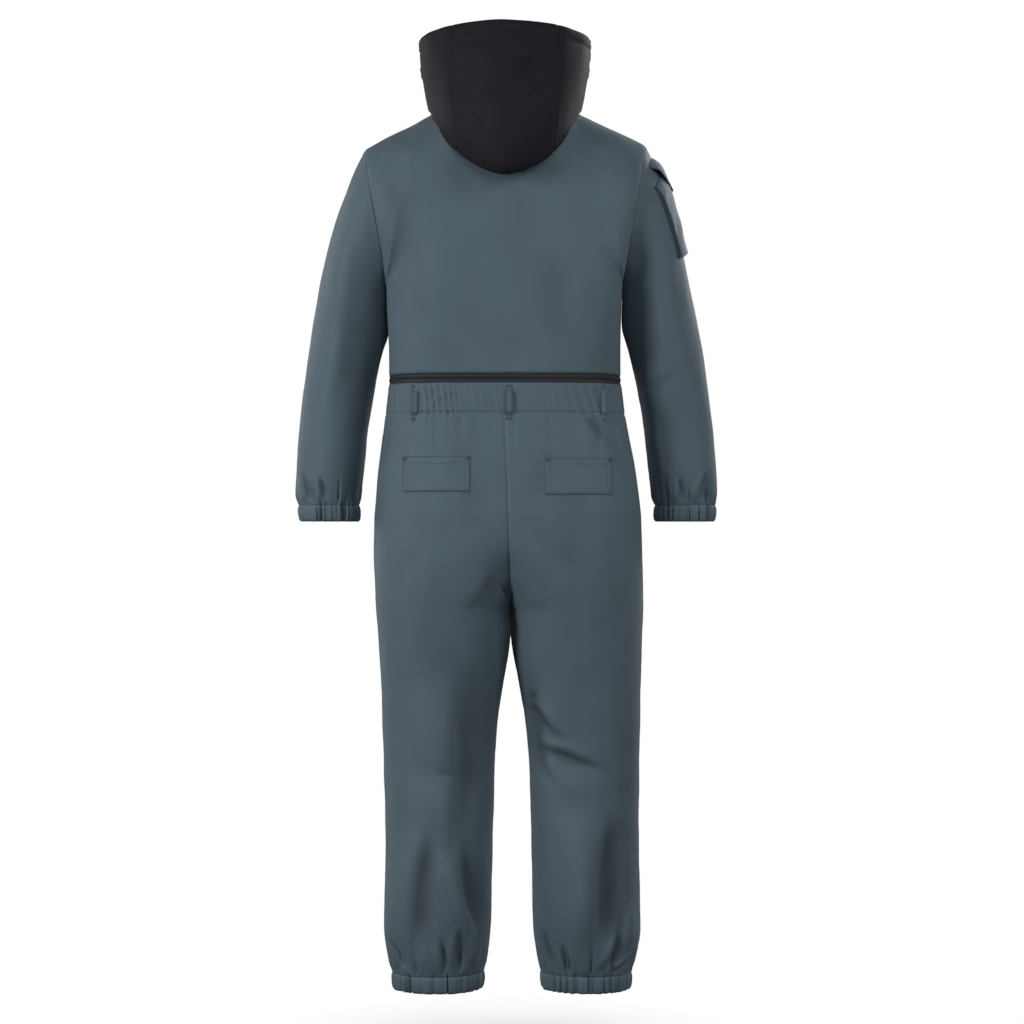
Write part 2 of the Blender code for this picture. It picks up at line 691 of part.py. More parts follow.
def casing_rings(rows, lean, side, inset):
    """The upper and lower ring of a casing, gathered into waves by its elastic."""
    top, bottom = rows["drop"]
    rings = []
    for drop in (top + SEAM, bottom):
        row = read(rows, drop)
        middle = Vector(((row["outer"] + row["inner"]) / 2, (row["back"] - row["front"]) / 2))
        half = Vector(((row["outer"] - row["inner"]) / 2, (row["back"] + row["front"]) / 2))
        ring = []
        for k in range(CASING_COLUMNS):
            angle = 2 * pi * k / CASING_COLUMNS * side
            out = half * (1 + row["gather"] / half.x * cos(GATHERS * angle))
            spoke = Vector((out.x * cos(angle), out.y * sin(angle)))
            point = middle + spoke - spoke.normalized() * inset
            ring.append(Vector((lean + side * point.x, point.y, -drop)))
        rings.append(ring)
    return rings


def make_casings(parts, materials):
    """The gathered cuffs and leg hems, each a separate ring just below its tube."""
    leg_lean = BODY["lean"][-1]
    for side, name in ((1, "left"), (-1, "right")):
        arm_lean = YOKE_LEAN + side * sway(side)
        for kind, rows, lean in (("cuff", CUFF_CASING, arm_lean), ("leg_hem", LEG_CASING, leg_lean)):
            outer, inner = (casing_rings(rows, lean, side, inset) for inset in (0.0, WALL))
            wall_between(f"{kind}_{name}", outer, inner, True, materials["shell"], parts)


# --- What is sewn on --------------------------------------------------------------------------


def lifted(surface, a, b, height):
    """A point at a height above a surface, whose two directions run down and anticlockwise."""
    step = 1e-3
    down = surface(a + step, b) - surface(a - step, b)
    round_it = surface(a, b + step) - surface(a, b - step)
    return surface(a, b) + down.cross(round_it).normalized() * height


def patch(name, surface, downs, rounds, height, material, parts):
    """A piece that lies on a surface: height gives its inner side's, by row and column."""

    def side(wall):
        return [
            [lifted(surface, a, b, height(i, j) + wall) for j, b in enumerate(rounds)]
            for i, a in enumerate(downs)
        ]

    wall_between(name, side(TRIM_WALL), side(0.0), False, material, parts)


def make_back_pockets(parts, materials):
    """Flat patches that lie on the seat."""
    for side, middle, width, top, bottom in zip(*BACK_POCKETS.values()):
        name = "back_pocket_left" if side > 0 else "back_pocket_right"
        rounds = spaced(-middle - width / 2, -middle + width / 2, POCKET_COLUMNS)
        downs = spaced(top, bottom, POCKET_ROWS)
        patch(name, back_surface, downs, rounds, lambda i, j: LAY, materials["shell"], parts)


def make_belt_loops(parts, materials):
    """Strips sewn down at both ends over the waistband, standing off between them."""
    downs = [LOOP_TOP + (LOOP_BOTTOM - LOOP_TOP) * along for along in LOOP_PROFILE["along"]]
    heights = [LAY + (LOOP_GAP - LAY) * height for height in LOOP_PROFILE["height"]]
    for name, across in BELT_LOOPS.items():
        rounds = [-across - LOOP_WIDTH / 2, -across + LOOP_WIDTH / 2]
        patch(name, back_surface, downs, rounds, lambda i, j: heights[i], materials["shell"], parts)


def make_sleeve_pocket(parts, materials):
    """A bellows pocket and its flap, on the outside of the wearer's right sleeve."""

    top, foot = FLAP_DOWN["ring"][0], FLAP_DOWN["ring"][-1]

    def surface(ring, turn):
        return sleeve(ring, -turn, -1)

    def slanted(ring, across):
        start = mix(*FLAP_BACK_TURNS, (ring - top) / (foot - top))
        return surface(ring, radians(mix(start, FLAP_FRONT_TURN, across)))

    def bulge(i, j):
        share = SLEEVE_POCKET_DOWN["height"][i] * SLEEVE_POCKET_ROUND["height"][j]
        return LAY + SLEEVE_POCKET_BULGE * share

    def drape(i, j):
        over = SLEEVE_POCKET_BULGE + TRIM_WALL + LAY
        return LAY + over * FLAP_DOWN["height"][i]

    shell = materials["shell"]
    rounds = [radians(turn) for turn in SLEEVE_POCKET_ROUND["turn"]]
    patch("sleeve_pocket", surface, SLEEVE_POCKET_DOWN["ring"], rounds, bulge, shell, parts)
    columns = spaced(0, 1, FLAP_COLUMNS)
    patch("sleeve_pocket_flap", slanted, FLAP_DOWN["ring"], columns, drape, shell, parts)


# --- Zip sliders ------------------------------------------------------------------------------


def block(low, high):
    """A closed box between two corners, as a mesh of its own."""
    mesh = bmesh.new()
    low, high = Vector(low), Vector(high)
    place = Matrix.LocRotScale((low + high) / 2, None, high - low)
    bmesh.ops.create_cube(mesh, size=1.0, matrix=place)
    return mesh


def joined(name, boxes, parts, material):
    """One solid from boxes that run into each other."""
    whole, *others = [finish(block(*box), name, material, parts) for box in boxes]
    for other in others:
        union = whole.modifiers.new("Union", "BOOLEAN")
        union.operation = "UNION"
        union.object = other
    graph = bpy.context.evaluated_depsgraph_get()
    data = bpy.data.meshes.new_from_object(whole.evaluated_get(graph))
    for each in (whole, *others):
        bpy.data.objects.remove(each)
    made = bpy.data.objects.new(name, data)
    parts.objects.link(made)
    return made


def make_slider(prefix, place, parts, material):
    """A slider in local axes, X across the zip, Y up it and Z out, with the tab hanging to -Y."""
    half = SLIDER / 2
    top = SLIDER_FOOT + SLIDER.z
    crown = top + BRIDGE_HEIGHT
    beam = crown - 2 * BRIDGE_HALF
    end = BRIDGE_LENGTH / 2
    post = end - 2 * BRIDGE_HALF
    boxes = [
        ((-half.x, -half.y, SLIDER_FOOT), (half.x, half.y, top)),
        ((-BRIDGE_HALF, -end, top - BITE), (BRIDGE_HALF, -post, beam + BITE)),
        ((-BRIDGE_HALF, post, top - BITE), (BRIDGE_HALF, end, beam + BITE)),
        ((-BRIDGE_HALF, -end, beam), (BRIDGE_HALF, end, crown)),
    ]
    slider = joined(f"{prefix}_slider", boxes, parts, material)
    slider.matrix_world = place
    hinge = bpy.data.objects.new(f"{prefix}_hinge", None)
    hinge.empty_display_size = BRIDGE_LENGTH
    hinge.matrix_world = place @ Matrix.Translation((0, 0, (top + beam) / 2))
    parts.objects.link(hinge)
    wide, thick, window = TAB.x / 2, TAB.z / 2, TAB_WINDOW.x / 2
    shoulder = -AXLE - TAB_WINDOW.y
    boxes = [
        ((-wide, -TAB.y, -thick), (wide, shoulder, thick)),
        ((-wide, shoulder - BITE, -thick), (-window, AXLE, thick)),
        ((window, shoulder - BITE, -thick), (wide, AXLE, thick)),
        ((-window - BITE, -AXLE, -AXLE), (window + BITE, AXLE, AXLE)),
    ]
    joined(f"{prefix}_pull", boxes, parts, material).parent = hinge


def place_between(low, high):
    """Axes on the skin's front: Y from low to high, Z out of the garment and X across."""
    along = (high - low).normalized()
    across = along.cross(Vector((0, -1, 0))).normalized()
    turn = Matrix((across, along, across.cross(along))).transposed().to_4x4()
    return Matrix.Translation((low + high) / 2) @ turn


def make_zip_sliders(parts, materials):
    """The front slider at the top of its zip, and the waist slider parked at the left front."""
    reach = SLIDER.y / 2
    above, below = (row[0] for row in upper_front(1)[1:3])
    spot = above.lerp(below, (above.z + FRONT_SLIDER_DROP) / (above.z - below.z))
    spot.x = YOKE_LEAN
    run = above - below
    run.x = 0
    run = run.normalized() * reach
    make_slider("front_zip", place_between(spot - run, spot + run), parts, materials["metal"])
    middle = (ZIP_TOP + ZIP_BOTTOM) / 2
    near, far = body(0, middle, 1, -1), body(SHARES[1], middle, 1, -1)
    spot = near.lerp(far, (WAIST_SLIDER_X - near.x) / (far.x - near.x))
    run = (near - far).normalized() * reach
    make_slider("waist_zip", place_between(spot - run, spot + run), parts, materials["metal"])


def make_material(name, colour, roughness, metallic):
    """A Principled material with one colour, roughness and metallic value."""
    material = bpy.data.materials.new(name)
    material.use_nodes = True
    shader = material.node_tree.nodes["Principled BSDF"]
    shader.inputs["Base Color"].default_value = (*colour, 1.0)
    shader.inputs["Roughness"].default_value = roughness
    shader.inputs["Metallic"].default_value = metallic
    material.diffuse_color = (*colour, 1.0)
    return material


def main():
    for old in list(bpy.data.objects):
        bpy.data.objects.remove(old, do_unlink=True)
    parts = bpy.data.collections.new("Snowsuit")
    bpy.context.scene.collection.children.link(parts)
    materials = {name: make_material(name, *values) for name, values in FINISHES.items()}
    make_skin(parts, materials)
    make_hood(parts, materials)
    make_casings(parts, materials)
    make_back_pockets(parts, materials)
    make_belt_loops(parts, materials)
    make_sleeve_pocket(parts, materials)
    make_zip_sliders(parts, materials)


main()
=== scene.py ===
# %% [markdown]
# # A one-piece snowsuit, in cells
# The frame already holds a plain model of every piece: its true size, its walls, its joints. This
# notebook dresses it. Each cloth panel is made again as a fine sheet on the same curved form, with
# the soft folds, gathers and sewn seams that a real suit has, and then it takes the place of its
# plain solid. Metres, +Z up. The front faces -Y, the back +Y, and the wearer's left is +X.

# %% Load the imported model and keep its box
from math import pi, radians

import bmesh
import bpy
import numpy as np
from mathutils import Matrix, Vector, noise
from mathutils.bvhtree import BVHTree


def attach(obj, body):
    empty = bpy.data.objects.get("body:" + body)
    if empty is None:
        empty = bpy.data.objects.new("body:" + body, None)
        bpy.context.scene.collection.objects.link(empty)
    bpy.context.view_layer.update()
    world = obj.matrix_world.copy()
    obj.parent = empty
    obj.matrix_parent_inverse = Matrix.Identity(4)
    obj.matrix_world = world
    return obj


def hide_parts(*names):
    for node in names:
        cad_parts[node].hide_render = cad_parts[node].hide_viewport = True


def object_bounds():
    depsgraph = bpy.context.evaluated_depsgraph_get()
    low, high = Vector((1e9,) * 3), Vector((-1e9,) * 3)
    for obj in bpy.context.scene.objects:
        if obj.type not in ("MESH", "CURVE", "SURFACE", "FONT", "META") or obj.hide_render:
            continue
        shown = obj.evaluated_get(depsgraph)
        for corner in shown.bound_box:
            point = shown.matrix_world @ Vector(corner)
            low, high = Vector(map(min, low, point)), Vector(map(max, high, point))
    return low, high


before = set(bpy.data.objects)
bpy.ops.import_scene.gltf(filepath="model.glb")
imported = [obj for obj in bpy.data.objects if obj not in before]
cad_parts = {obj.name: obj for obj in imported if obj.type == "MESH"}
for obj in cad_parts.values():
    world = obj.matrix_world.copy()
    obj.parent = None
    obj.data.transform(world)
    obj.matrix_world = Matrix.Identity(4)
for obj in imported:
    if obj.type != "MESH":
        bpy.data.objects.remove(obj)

CAD_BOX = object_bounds()
SUIT, FRONT_PULL, WAIST_PULL = "suit", "front_pull", "waist_pull"
SIDES = {1: "left", -1: "right"}
print("CAD box", [[round(v, 4) for v in corner] for corner in CAD_BOX])

# %% Small helpers for objects and node trees


def add_object(name, data):
    """A new object in the scene."""
    made = bpy.data.objects.new(name, data)
    bpy.context.scene.collection.objects.link(made)
    return made


def add_nodes(tree, *kinds):
    """New nodes of these kinds, in order."""
    return [tree.nodes.new(f"ShaderNode{kind}") for kind in kinds]


def set_inputs(node, values):
    """Sets a node's inputs by their names or numbers."""
    for label, value in values.items():
        node.inputs[label].default_value = value


def connect(tree, *pairs):
    """Links each output to its input."""
    for source, target in pairs:
        tree.links.new(source, target)


def new_material(name):
    """A material, with its node tree and its shader."""
    material = bpy.data.materials.new(name)
    material.use_nodes = True
    return material, material.node_tree, material.node_tree.nodes["Principled BSDF"]


# %% [markdown]
# ## The room
# A product is shown against a pale floor that runs out into white. The camera stands level with the
# middle of the suit, a long way back, so the garment is seen almost without perspective. A large
# soft key light stands on the wearer's left, and weaker ones fill the rest, so that one half of
# each sleeve and leg falls away into shade and shows how round it is.

# %% Camera and floor
VIEW_DISTANCE = 4.5
VIEW_CENTRE = Vector((-0.0105, 0.0, -0.6895))
VIEW_WIDTH = 1.792
SENSOR = 36.0
FLOOR_DROP = 0.10
FLOOR_RADIUS = 14.0

camera = add_object("camera", bpy.data.cameras.new("camera"))
camera.location = VIEW_CENTRE + Vector((0, VIEW_DISTANCE, 0))
camera.rotation_euler = (radians(90), 0, radians(180))
camera.data.sensor_width = SENSOR
camera.data.lens = SENSOR * VIEW_DISTANCE / VIEW_WIDTH
bpy.context.scene.camera = camera

floor_mesh = bmesh.new()
bmesh.ops.create_circle(floor_mesh, cap_ends=True, segments=96, radius=FLOOR_RADIUS)
bmesh.ops.translate(floor_mesh, verts=floor_mesh.verts, vec=(0, 0, CAD_BOX[0][2] - FLOOR_DROP))
floor = add_object("floor", bpy.data.meshes.new("floor"))
floor_mesh.to_mesh(floor.data)
floor_mesh.free()
print("camera at", tuple(round(v, 3) for v in camera.location), "lens", round(camera.data.lens, 1))

# %% Lights
AIM = Vector((0, 0, -0.72))
AMBIENT = 0.07
LIGHTS = {
    # place, size in metres and power in watts
    "key": ((3.2, 2.6, 0.1), 1.5, 95.0),
    "side_key": ((3.6, 0.5, 0.6), 1.5, 22.0),
    "back_fill": ((-0.6, 4.2, 0.4), 1.6, 38.0),
    "far_fill": ((-2.8, 2.4, 1.1), 1.6, 44.0),
    "far_rim": ((-3.6, 0.4, 0.0), 1.8, 15.0),
    "front_key": ((-2.4, -3.0, 1.2), 1.8, 80.0),
    "front_fill": ((2.8, -2.6, 0.0), 2.0, 34.0),
}


def soft_light(name, place, size, power):
    """A square softbox that faces the middle of the suit."""
    light = add_object(name, bpy.data.lights.new(name, "AREA"))
    light.data.size = size
    light.data.energy = power
    light.location = place
    light.rotation_euler = (AIM - light.location).to_track_quat("-Z", "Y").to_euler()


for light_name, (place, size, power) in LIGHTS.items():
    soft_light(light_name, place, size, power)

world = bpy.data.worlds.new("white")
world.use_nodes = True
world.node_tree.nodes.clear()
bpy.context.scene.world = world
kinds = ("Background", "Background", "LightPath", "MixShader", "OutputWorld")
seen, around, path, mix, out = add_nodes(world.node_tree, *kinds)
set_inputs(seen, {"Color": (1, 1, 1, 1)})
set_inputs(around, {"Color": (1, 1, 1, 1), "Strength": AMBIENT})
connect(
    world.node_tree,
    (path.outputs["Is Camera Ray"], mix.inputs["Fac"]),
    (around.outputs[0], mix.inputs[1]),
    (seen.outputs[0], mix.inputs[2]),
    (mix.outputs[0], out.inputs["Surface"]),
)
bpy.context.scene.view_settings.view_transform = "Standard"
print("lights", ", ".join(LIGHTS))

# %% The floor's paint, which fades into the white around it
FADE_FROM = -0.20
FADE_TO = 0.50
FLOOR_COLOUR = (0.92, 0.92, 0.92, 1)

paint, tree, matt = new_material("floor")
kinds = ("Emission", "TexCoord", "VectorMath", "VectorMath", "MapRange", "MixShader")
glow, place, flat, away, fade, both = add_nodes(tree, *kinds)
flat.operation, away.operation, fade.interpolation_type = "MULTIPLY", "LENGTH", "SMOOTHSTEP"
set_inputs(matt, {"Base Color": FLOOR_COLOUR, "Roughness": 0.9})
set_inputs(flat, {1: (1, 1, 0)})
set_inputs(fade, {"From Min": FADE_FROM, "From Max": FADE_TO})
connect(
    tree,
    (place.outputs["Object"], flat.inputs[0]),
    (flat.outputs[0], away.inputs[0]),
    (away.outputs["Value"], fade.inputs["Value"]),
    (fade.outputs[0], both.inputs["Fac"]),
    (matt.outputs[0], both.inputs[1]),
    (glow.outputs[0], both.inputs[2]),
    (both.outputs[0], tree.nodes["Material Output"].inputs["Surface"]),
)
floor.data.materials.append(paint)
floor.visible_diffuse = False
floor.visible_glossy = False
print("the floor fades out", FADE_TO, "m from its middle")

# %% [markdown]
# ## The pattern's sizes
# A pattern cutter drafts a suit from a few sections. These tables are the sections that the plain
# model was cut from: how wide and deep the suit is at each drop below the neck, how each sleeve's
# rings run, and how the hood folds over. A smooth curve through the rows gives every size between.

# %% Sizes of the cloth, the neck, the waist and the hems
WALL = 0.0026
HOOD_WALL = 0.0020
TAPE_WALL = 0.0014

NECK_HALF_WIDTH = 0.0945
NECK_BACK = 0.070
NECK_FRONT = 0.085
NECK_SIDE_Z = 0.020
NECK_BACK_Z = -0.005
NECK_FRONT_Z = -0.070
NECK_SPREAD = 10.0
TIP_X = 0.2455
TIP_Z = -0.056
RIGHT_TIP_RISE = 0.0065
UNDERARM_X = 0.2045
UNDERARM_Z = -0.290
ARMHOLE_DEPTH = 0.084
UNDERARM_EASE = 2.6
SHOULDER_ARCH = 0.130
SHOULDER_ROUNDNESS = 2.5
MIDDLE = 0.0015

ZIP_HALF = 0.0075
ZIP_TOP = 0.4525
ZIP_BOTTOM = 0.4675
BAND_BOTTOM = 0.520
FLY_END = 0.690
FLY_POINT = 0.706
FLY_POINT_HALF = 0.0005
CROTCH = 0.858
LEG_END = 1.492
NECK_SHARE = 0.5
COLUMN_EASE = 0.7


def table(names, rows):
    """Rows of numbers under named columns, the first of which rises down the rows."""
    return {name: np.array(values) for name, values in zip(names.split(), zip(*rows))}


BODY = table(
    "drop outer deepest inner back front lean roundness",
    [
        (0.290, 0.2045, 0.0000, -0.2045, 0.124, 0.128, 0.0015, 4.20),
        (0.330, 0.2030, 0.0000, -0.2030, 0.123, 0.126, 0.0018, 4.00),
        (0.390, 0.2015, 0.0000, -0.2015, 0.120, 0.121, 0.0022, 3.60),
        (0.4525, 0.2015, 0.0000, -0.2015, 0.117, 0.116, 0.0026, 3.00),
        (0.4675, 0.2020, 0.0000, -0.2020, 0.117, 0.115, 0.0026, 3.00),
        (0.520, 0.2080, 0.0000, -0.2080, 0.120, 0.114, 0.0020, 2.90),
        (0.570, 0.2165, 0.0060, -0.2165, 0.128, 0.116, 0.0000, 2.80),
        (0.630, 0.2260, 0.0230, -0.2250, 0.137, 0.118, -0.0025, 2.75),
        (0.690, 0.2320, 0.0490, -0.2230, 0.142, 0.119, -0.0043, 2.70),
        (0.706, 0.2329, 0.0570, -0.1580, 0.142, 0.119, -0.0046, 2.65),
        (0.765, 0.2343, 0.0830, -0.0630, 0.140, 0.118, -0.0056, 2.50),
        (0.812, 0.2342, 0.1010, -0.0255, 0.135, 0.117, -0.0065, 2.40),
        (0.842, 0.2338, 0.1095, -0.0078, 0.130, 0.115, -0.0071, 2.35),
        (0.858, 0.2335, 0.1130, 0.0006, 0.127, 0.114, -0.0075, 2.30),
        (0.900, 0.2315, 0.1165, 0.0016, 0.121, 0.111, -0.0080, 2.25),
        (0.945, 0.2290, 0.1173, 0.0055, 0.115, 0.107, -0.0087, 2.20),
        (1.000, 0.2267, 0.1210, 0.0152, 0.107, 0.104, -0.0091, 2.15),
        (1.060, 0.2248, 0.1240, 0.0232, 0.100, 0.100, -0.0094, 2.15),
        (1.095, 0.2238, 0.1251, 0.0264, 0.097, 0.099, -0.0096, 2.15),
        (1.130, 0.2230, 0.1260, 0.0290, 0.095, 0.097, -0.0098, 2.15),
        (1.175, 0.2223, 0.1268, 0.0314, 0.095, 0.093, -0.0101, 2.15),
        (1.220, 0.2220, 0.1276, 0.0332, 0.095, 0.089, -0.0103, 2.15),
        (1.320, 0.2230, 0.1299, 0.0368, 0.097, 0.081, -0.0105, 2.15),
        (1.400, 0.2240, 0.1309, 0.0378, 0.092, 0.075, -0.0105, 2.15),
        (1.430, 0.2225, 0.1313, 0.0400, 0.087, 0.073, -0.0105, 2.15),
        (1.463, 0.2160, 0.1303, 0.0445, 0.079, 0.069, -0.0105, 2.15),
        (1.492, 0.2085, 0.1298, 0.0510, 0.070, 0.062, -0.0105, 2.15),
    ],
)
LEG_CASING = table(
    "drop outer inner back front",
    [(1.492, 0.2085, 0.0510, 0.070, 0.062), (1.5215, 0.2060, 0.0530, 0.068, 0.060)],
)
SLEEVE = table(
    "ring outer_x outer_z inner_x inner_z depth middle",
    [
        (0, TIP_X, TIP_Z, UNDERARM_X, UNDERARM_Z, ARMHOLE_DEPTH, 0.000),
        (1, 0.2710, -0.1060, 0.2052, -0.3000, 0.085, -0.008),
        (2, 0.2940, -0.1690, 0.2046, -0.3120, 0.084, -0.018),
        (3, 0.3125, -0.2350, 0.2038, -0.3270, 0.082, -0.026),
        (4, 0.3265, -0.2990, 0.2034, -0.3470, 0.079, -0.031),
        (5, 0.3385, -0.3640, 0.2052, -0.3720, 0.076, -0.034),
        (6, 0.3485, -0.4290, 0.2175, -0.4140, 0.072, -0.035),
        (7, 0.3570, -0.4940, 0.2310, -0.4740, 0.068, -0.035),
        (8, 0.3630, -0.5500, 0.2425, -0.5410, 0.064, -0.034),
        (9, 0.3670, -0.6050, 0.2478, -0.6050, 0.061, -0.032),
        (10, 0.3685, -0.6500, 0.2530, -0.6500, 0.056, -0.030),
        (11, 0.3640, -0.6780, 0.2555, -0.6780, 0.050, -0.029),
    ],
)
CUFF_CASING = table(
    "drop outer inner back front",
    [(0.678, 0.3640, 0.2555, 0.021, 0.079), (0.7065, 0.3615, 0.2560, 0.019, 0.077)],
)
SLEEVE_SWAY = 0.0065
HOOD = table(
    "row half_width back front back_z side_z front_z side_y",
    [
        (0, NECK_HALF_WIDTH, NECK_BACK, NECK_FRONT, NECK_BACK_Z, NECK_SIDE_Z, NECK_FRONT_Z, 0.000),
        (1, 0.1010, 0.080, 0.092, 0.018, 0.040, -0.042, 0.001),
        (2, 0.1150, 0.105, 0.104, 0.010, 0.040, -0.018, 0.003),
        (3, 0.1250, 0.133, 0.113, -0.024, 0.030, -0.002, 0.008),
        (4, 0.1270, 0.155, 0.116, -0.076, 0.019, 0.004, 0.016),
        (5, 0.1290, 0.171, 0.118, -0.121, -0.012, 0.009, 0.013),
        (6, 0.1308, 0.190, 0.119, -0.104, 0.002, 0.014, 0.016),
        (7, 0.1385, 0.202, 0.118, -0.048, 0.036, 0.019, 0.020),
        (8, 0.1460, 0.200, 0.116, 0.028, 0.080, 0.025, 0.025),
        (9, 0.1475, 0.187, 0.113, 0.104, 0.113, 0.030, 0.028),
        (10, 0.1475, 0.176, 0.111, 0.139, 0.129, 0.033, 0.030),
    ],
)
HOOD_RIM_ROW = 10
HOOD_CENTRE_ANGLE = radians(38)
HOOD_LIFT = 0.0008
HOOD_REST = 0.0085
HOOD_PARTING = 0.016
print("tables:", len(BODY["drop"]), "body rows,", len(SLEEVE["ring"]), "sleeve rings")

# %% [markdown]
# ## The form
# A worn suit is a set of tubes. Every point of the form is worked out from two numbers: how far
# round a tube it lies, and how far down. The functions take whole arrays of numbers at once, so a
# panel of ten thousand points costs no more lines than one point would.

# %% Curves that the form is drawn with


def read(rows, at):
    """All the columns of a table at these values of the first, on a smooth curve through the rows."""
    keys = next(iter(rows.values()))
    at = np.asarray(at, float)
    last = len(keys) - 1
    i = np.clip(np.searchsorted(keys, at, side="right") - 1, 0, last - 1)
    width = keys[i + 1] - keys[i]
    t = (at - keys[i]) / width

    def slope(values, k):
        low, high = np.maximum(k - 1, 0), np.minimum(k + 1, last)
        return (values[high] - values[low]) / (keys[high] - keys[low]) * width

    return {
        name: (1 + 2 * t) * (1 - t) ** 2 * values[i]
        + t * (1 - t) ** 2 * slope(values, i)
        + t * t * (3 - 2 * t) * values[i + 1]
        + t * t * (t - 1) * slope(values, i + 1)
        for name, values in rows.items()
    }


def power(value, exponent):
    """A power that keeps the sign of its base."""
    return np.abs(value) ** exponent * np.where(value >= 0, 1, -1)


def fullness(u, roundness):
    """How deep a section is at u of its half width, as a share of its full depth."""
    return np.maximum(0.0, 1 - np.abs(u) ** roundness) ** (1 / roundness)


def smooth(value, span):
    """0 at a value of nought, 1 from the span on, and level at both ends."""
    share = np.clip(value / span, 0.0, 1.0)
    return share * share * (3 - 2 * share)


def below_waist(drop):
    """0 down to the waistband's lower edge, 1 from the crotch on, and smooth between."""
    return smooth(drop - BAND_BOTTOM, CROTCH - BAND_BOTTOM)


# %% The yoke, from the neck and shoulders to the underarm
HALVINGS = 24


def column_share(c, alpha):
    """Where column c lies across the yoke: 0 is the middle and 1 the armhole."""
    neck_share = NECK_HALF_WIDTH / TIP_X
    beyond = neck_share + (1 - neck_share) * (c - NECK_SHARE) / (1 - NECK_SHARE)
    top = np.where(c < NECK_SHARE, neck_share * np.sin(pi / 2 * np.minimum(c / NECK_SHARE, 1)), beyond)
    low = power(np.sin(pi / 2 * c), 2 / BODY["roundness"][0])
    return top + (low - top) * ((1 - np.cos(np.minimum(alpha, pi))) / 2) ** COLUMN_EASE


def armhole_x(alpha):
    """Half the yoke's width. alpha is 0 at the shoulder and pi at the underarm."""
    return UNDERARM_X + (TIP_X - UNDERARM_X) * (1 + np.cos(alpha)) / 2


def tip_rise(side):
    """How much higher the shoulder's tip lies on the wearer's right than on the left."""
    return np.where(np.asarray(side) < 0, RIGHT_TIP_RISE, 0.0)


def yoke_at(u, alpha, side, facing):
    """A point above the underarm, at u of the way from the middle plane to the armhole."""
    neck = TIP_X * u / NECK_HALF_WIDTH
    neck_z = np.where(facing > 0, NECK_BACK_Z, NECK_FRONT_Z)
    slope = (TIP_Z + tip_rise(side) - NECK_SIDE_Z) / (TIP_X - NECK_HALF_WIDTH)
    top_z = np.where(
        neck < 1,
        NECK_SIDE_Z + (neck_z - NECK_SIDE_Z) * (1 - neck**2),
        NECK_SIDE_Z + slope * (TIP_X * u - NECK_HALF_WIDTH),
    )
    lowered = (1 - np.cos(alpha)) / 2
    fall = (top_z - UNDERARM_Z) * lowered
    arch = np.sqrt(1 - (1 - np.minimum(fall / SHOULDER_ARCH, 1.0)) ** 2)
    spread = NECK_SPREAD * fall
    neck_y = np.where(facing > 0, NECK_BACK, NECK_FRONT)
    neck_y = neck_y * np.maximum(0.0, 1 - (neck / (1 + spread)) ** 2) ** (0.5 + spread)
    deep = np.where(facing > 0, BODY["back"][0], BODY["front"][0])
    squareness = SHOULDER_ROUNDNESS + (BODY["roundness"][0] - SHOULDER_ROUNDNESS) * lowered**2
    full = fullness(u, squareness)
    y = neck_y * (1 - arch) + arch * deep * full
    ease = smooth((1 + np.cos(alpha)) / 2, np.maximum(UNDERARM_EASE * (1 - u), 1e-6))
    y = y + ARMHOLE_DEPTH * np.sin(alpha) * ease * (1 - full)
    return np.stack([MIDDLE + side * u * armhole_x(alpha), facing * y, top_z - fall], -1)


def yoke(c, alpha, side, facing):
    """The yoke's points in column c. The front's middle column runs beside the zip."""
    c, alpha = np.broadcast_arrays(np.asarray(c, float), np.asarray(alpha, float))
    u = column_share(c, alpha)
    if facing < 0:
        u = u + np.maximum(0.0, 1 - c / NECK_SHARE) * ZIP_HALF / armhole_x(alpha)
    return yoke_at(u, alpha, side, facing)


def shoulder_top(x, y):
    """How high the shoulders, chest and back stand over points of the plan, or nan beyond them."""
    across, facing = np.abs(x - MIDDLE), np.where(y > 0, 1, -1)
    low, high = np.zeros_like(across), np.full_like(across, pi / 2)
    for _ in range(HALVINGS):
        alpha = (low + high) / 2
        point = yoke_at(across / armhole_x(alpha), alpha, 1, facing)
        short = np.abs(point[..., 1]) < np.abs(y)
        low, high = np.where(short, alpha, low), np.where(short, high, alpha)
    return np.where((low > 1e-4) & (high < pi / 2 - 1e-4), point[..., 2], np.nan)


print("shoulder tips", [yoke_at(1.0, 0.0, side, 1).round(3).tolist() for side in SIDES])


# %% The trunk and the legs


def opening(drop):
    """Half the width of the front's opening, which the zip fills and which ends in a point."""
    taper = ZIP_HALF + (FLY_POINT_HALF - ZIP_HALF) * (drop - FLY_END) / (FLY_POINT - FLY_END)
    return np.where(drop <= FLY_END, ZIP_HALF, np.where(drop <= FLY_POINT, taper, 0.0))


# The largest folds of the trousers. Each end lies at a share of the panel's width from its middle
# seam and at a drop.
FOLDS = table(
    "side facing start start_drop end end_drop depth spread",
    [
        (-1, 1, 0.02, 1.092, 0.70, 1.150, 0.0060, 0.026),
        (-1, 1, 0.25, 1.215, 0.85, 1.165, 0.0035, 0.030),
        (1, 1, 0.20, 1.172, 0.72, 1.128, 0.0050, 0.030),
        (1, -1, 0.05, 1.100, 0.62, 1.140, 0.0045, 0.028),
        (-1, -1, 0.15, 1.178, 0.80, 1.132, 0.0050, 0.028),
    ],
)


def fold_depth(c, drop, side, facing):
    """How far the largest folds draw a trouser panel in."""
    found = 0.0
    for on_side, on_facing, start, start_drop, end, end_drop, depth, spread in zip(*FOLDS.values()):
        if (on_side, on_facing) == (side, facing):
            along = np.clip((c - start) / (end - start), 0, 1)
            off = (drop - start_drop - along * (end_drop - start_drop)) / spread
            found = found + depth * np.sin(pi * along) * np.exp(-off * off)
    return found


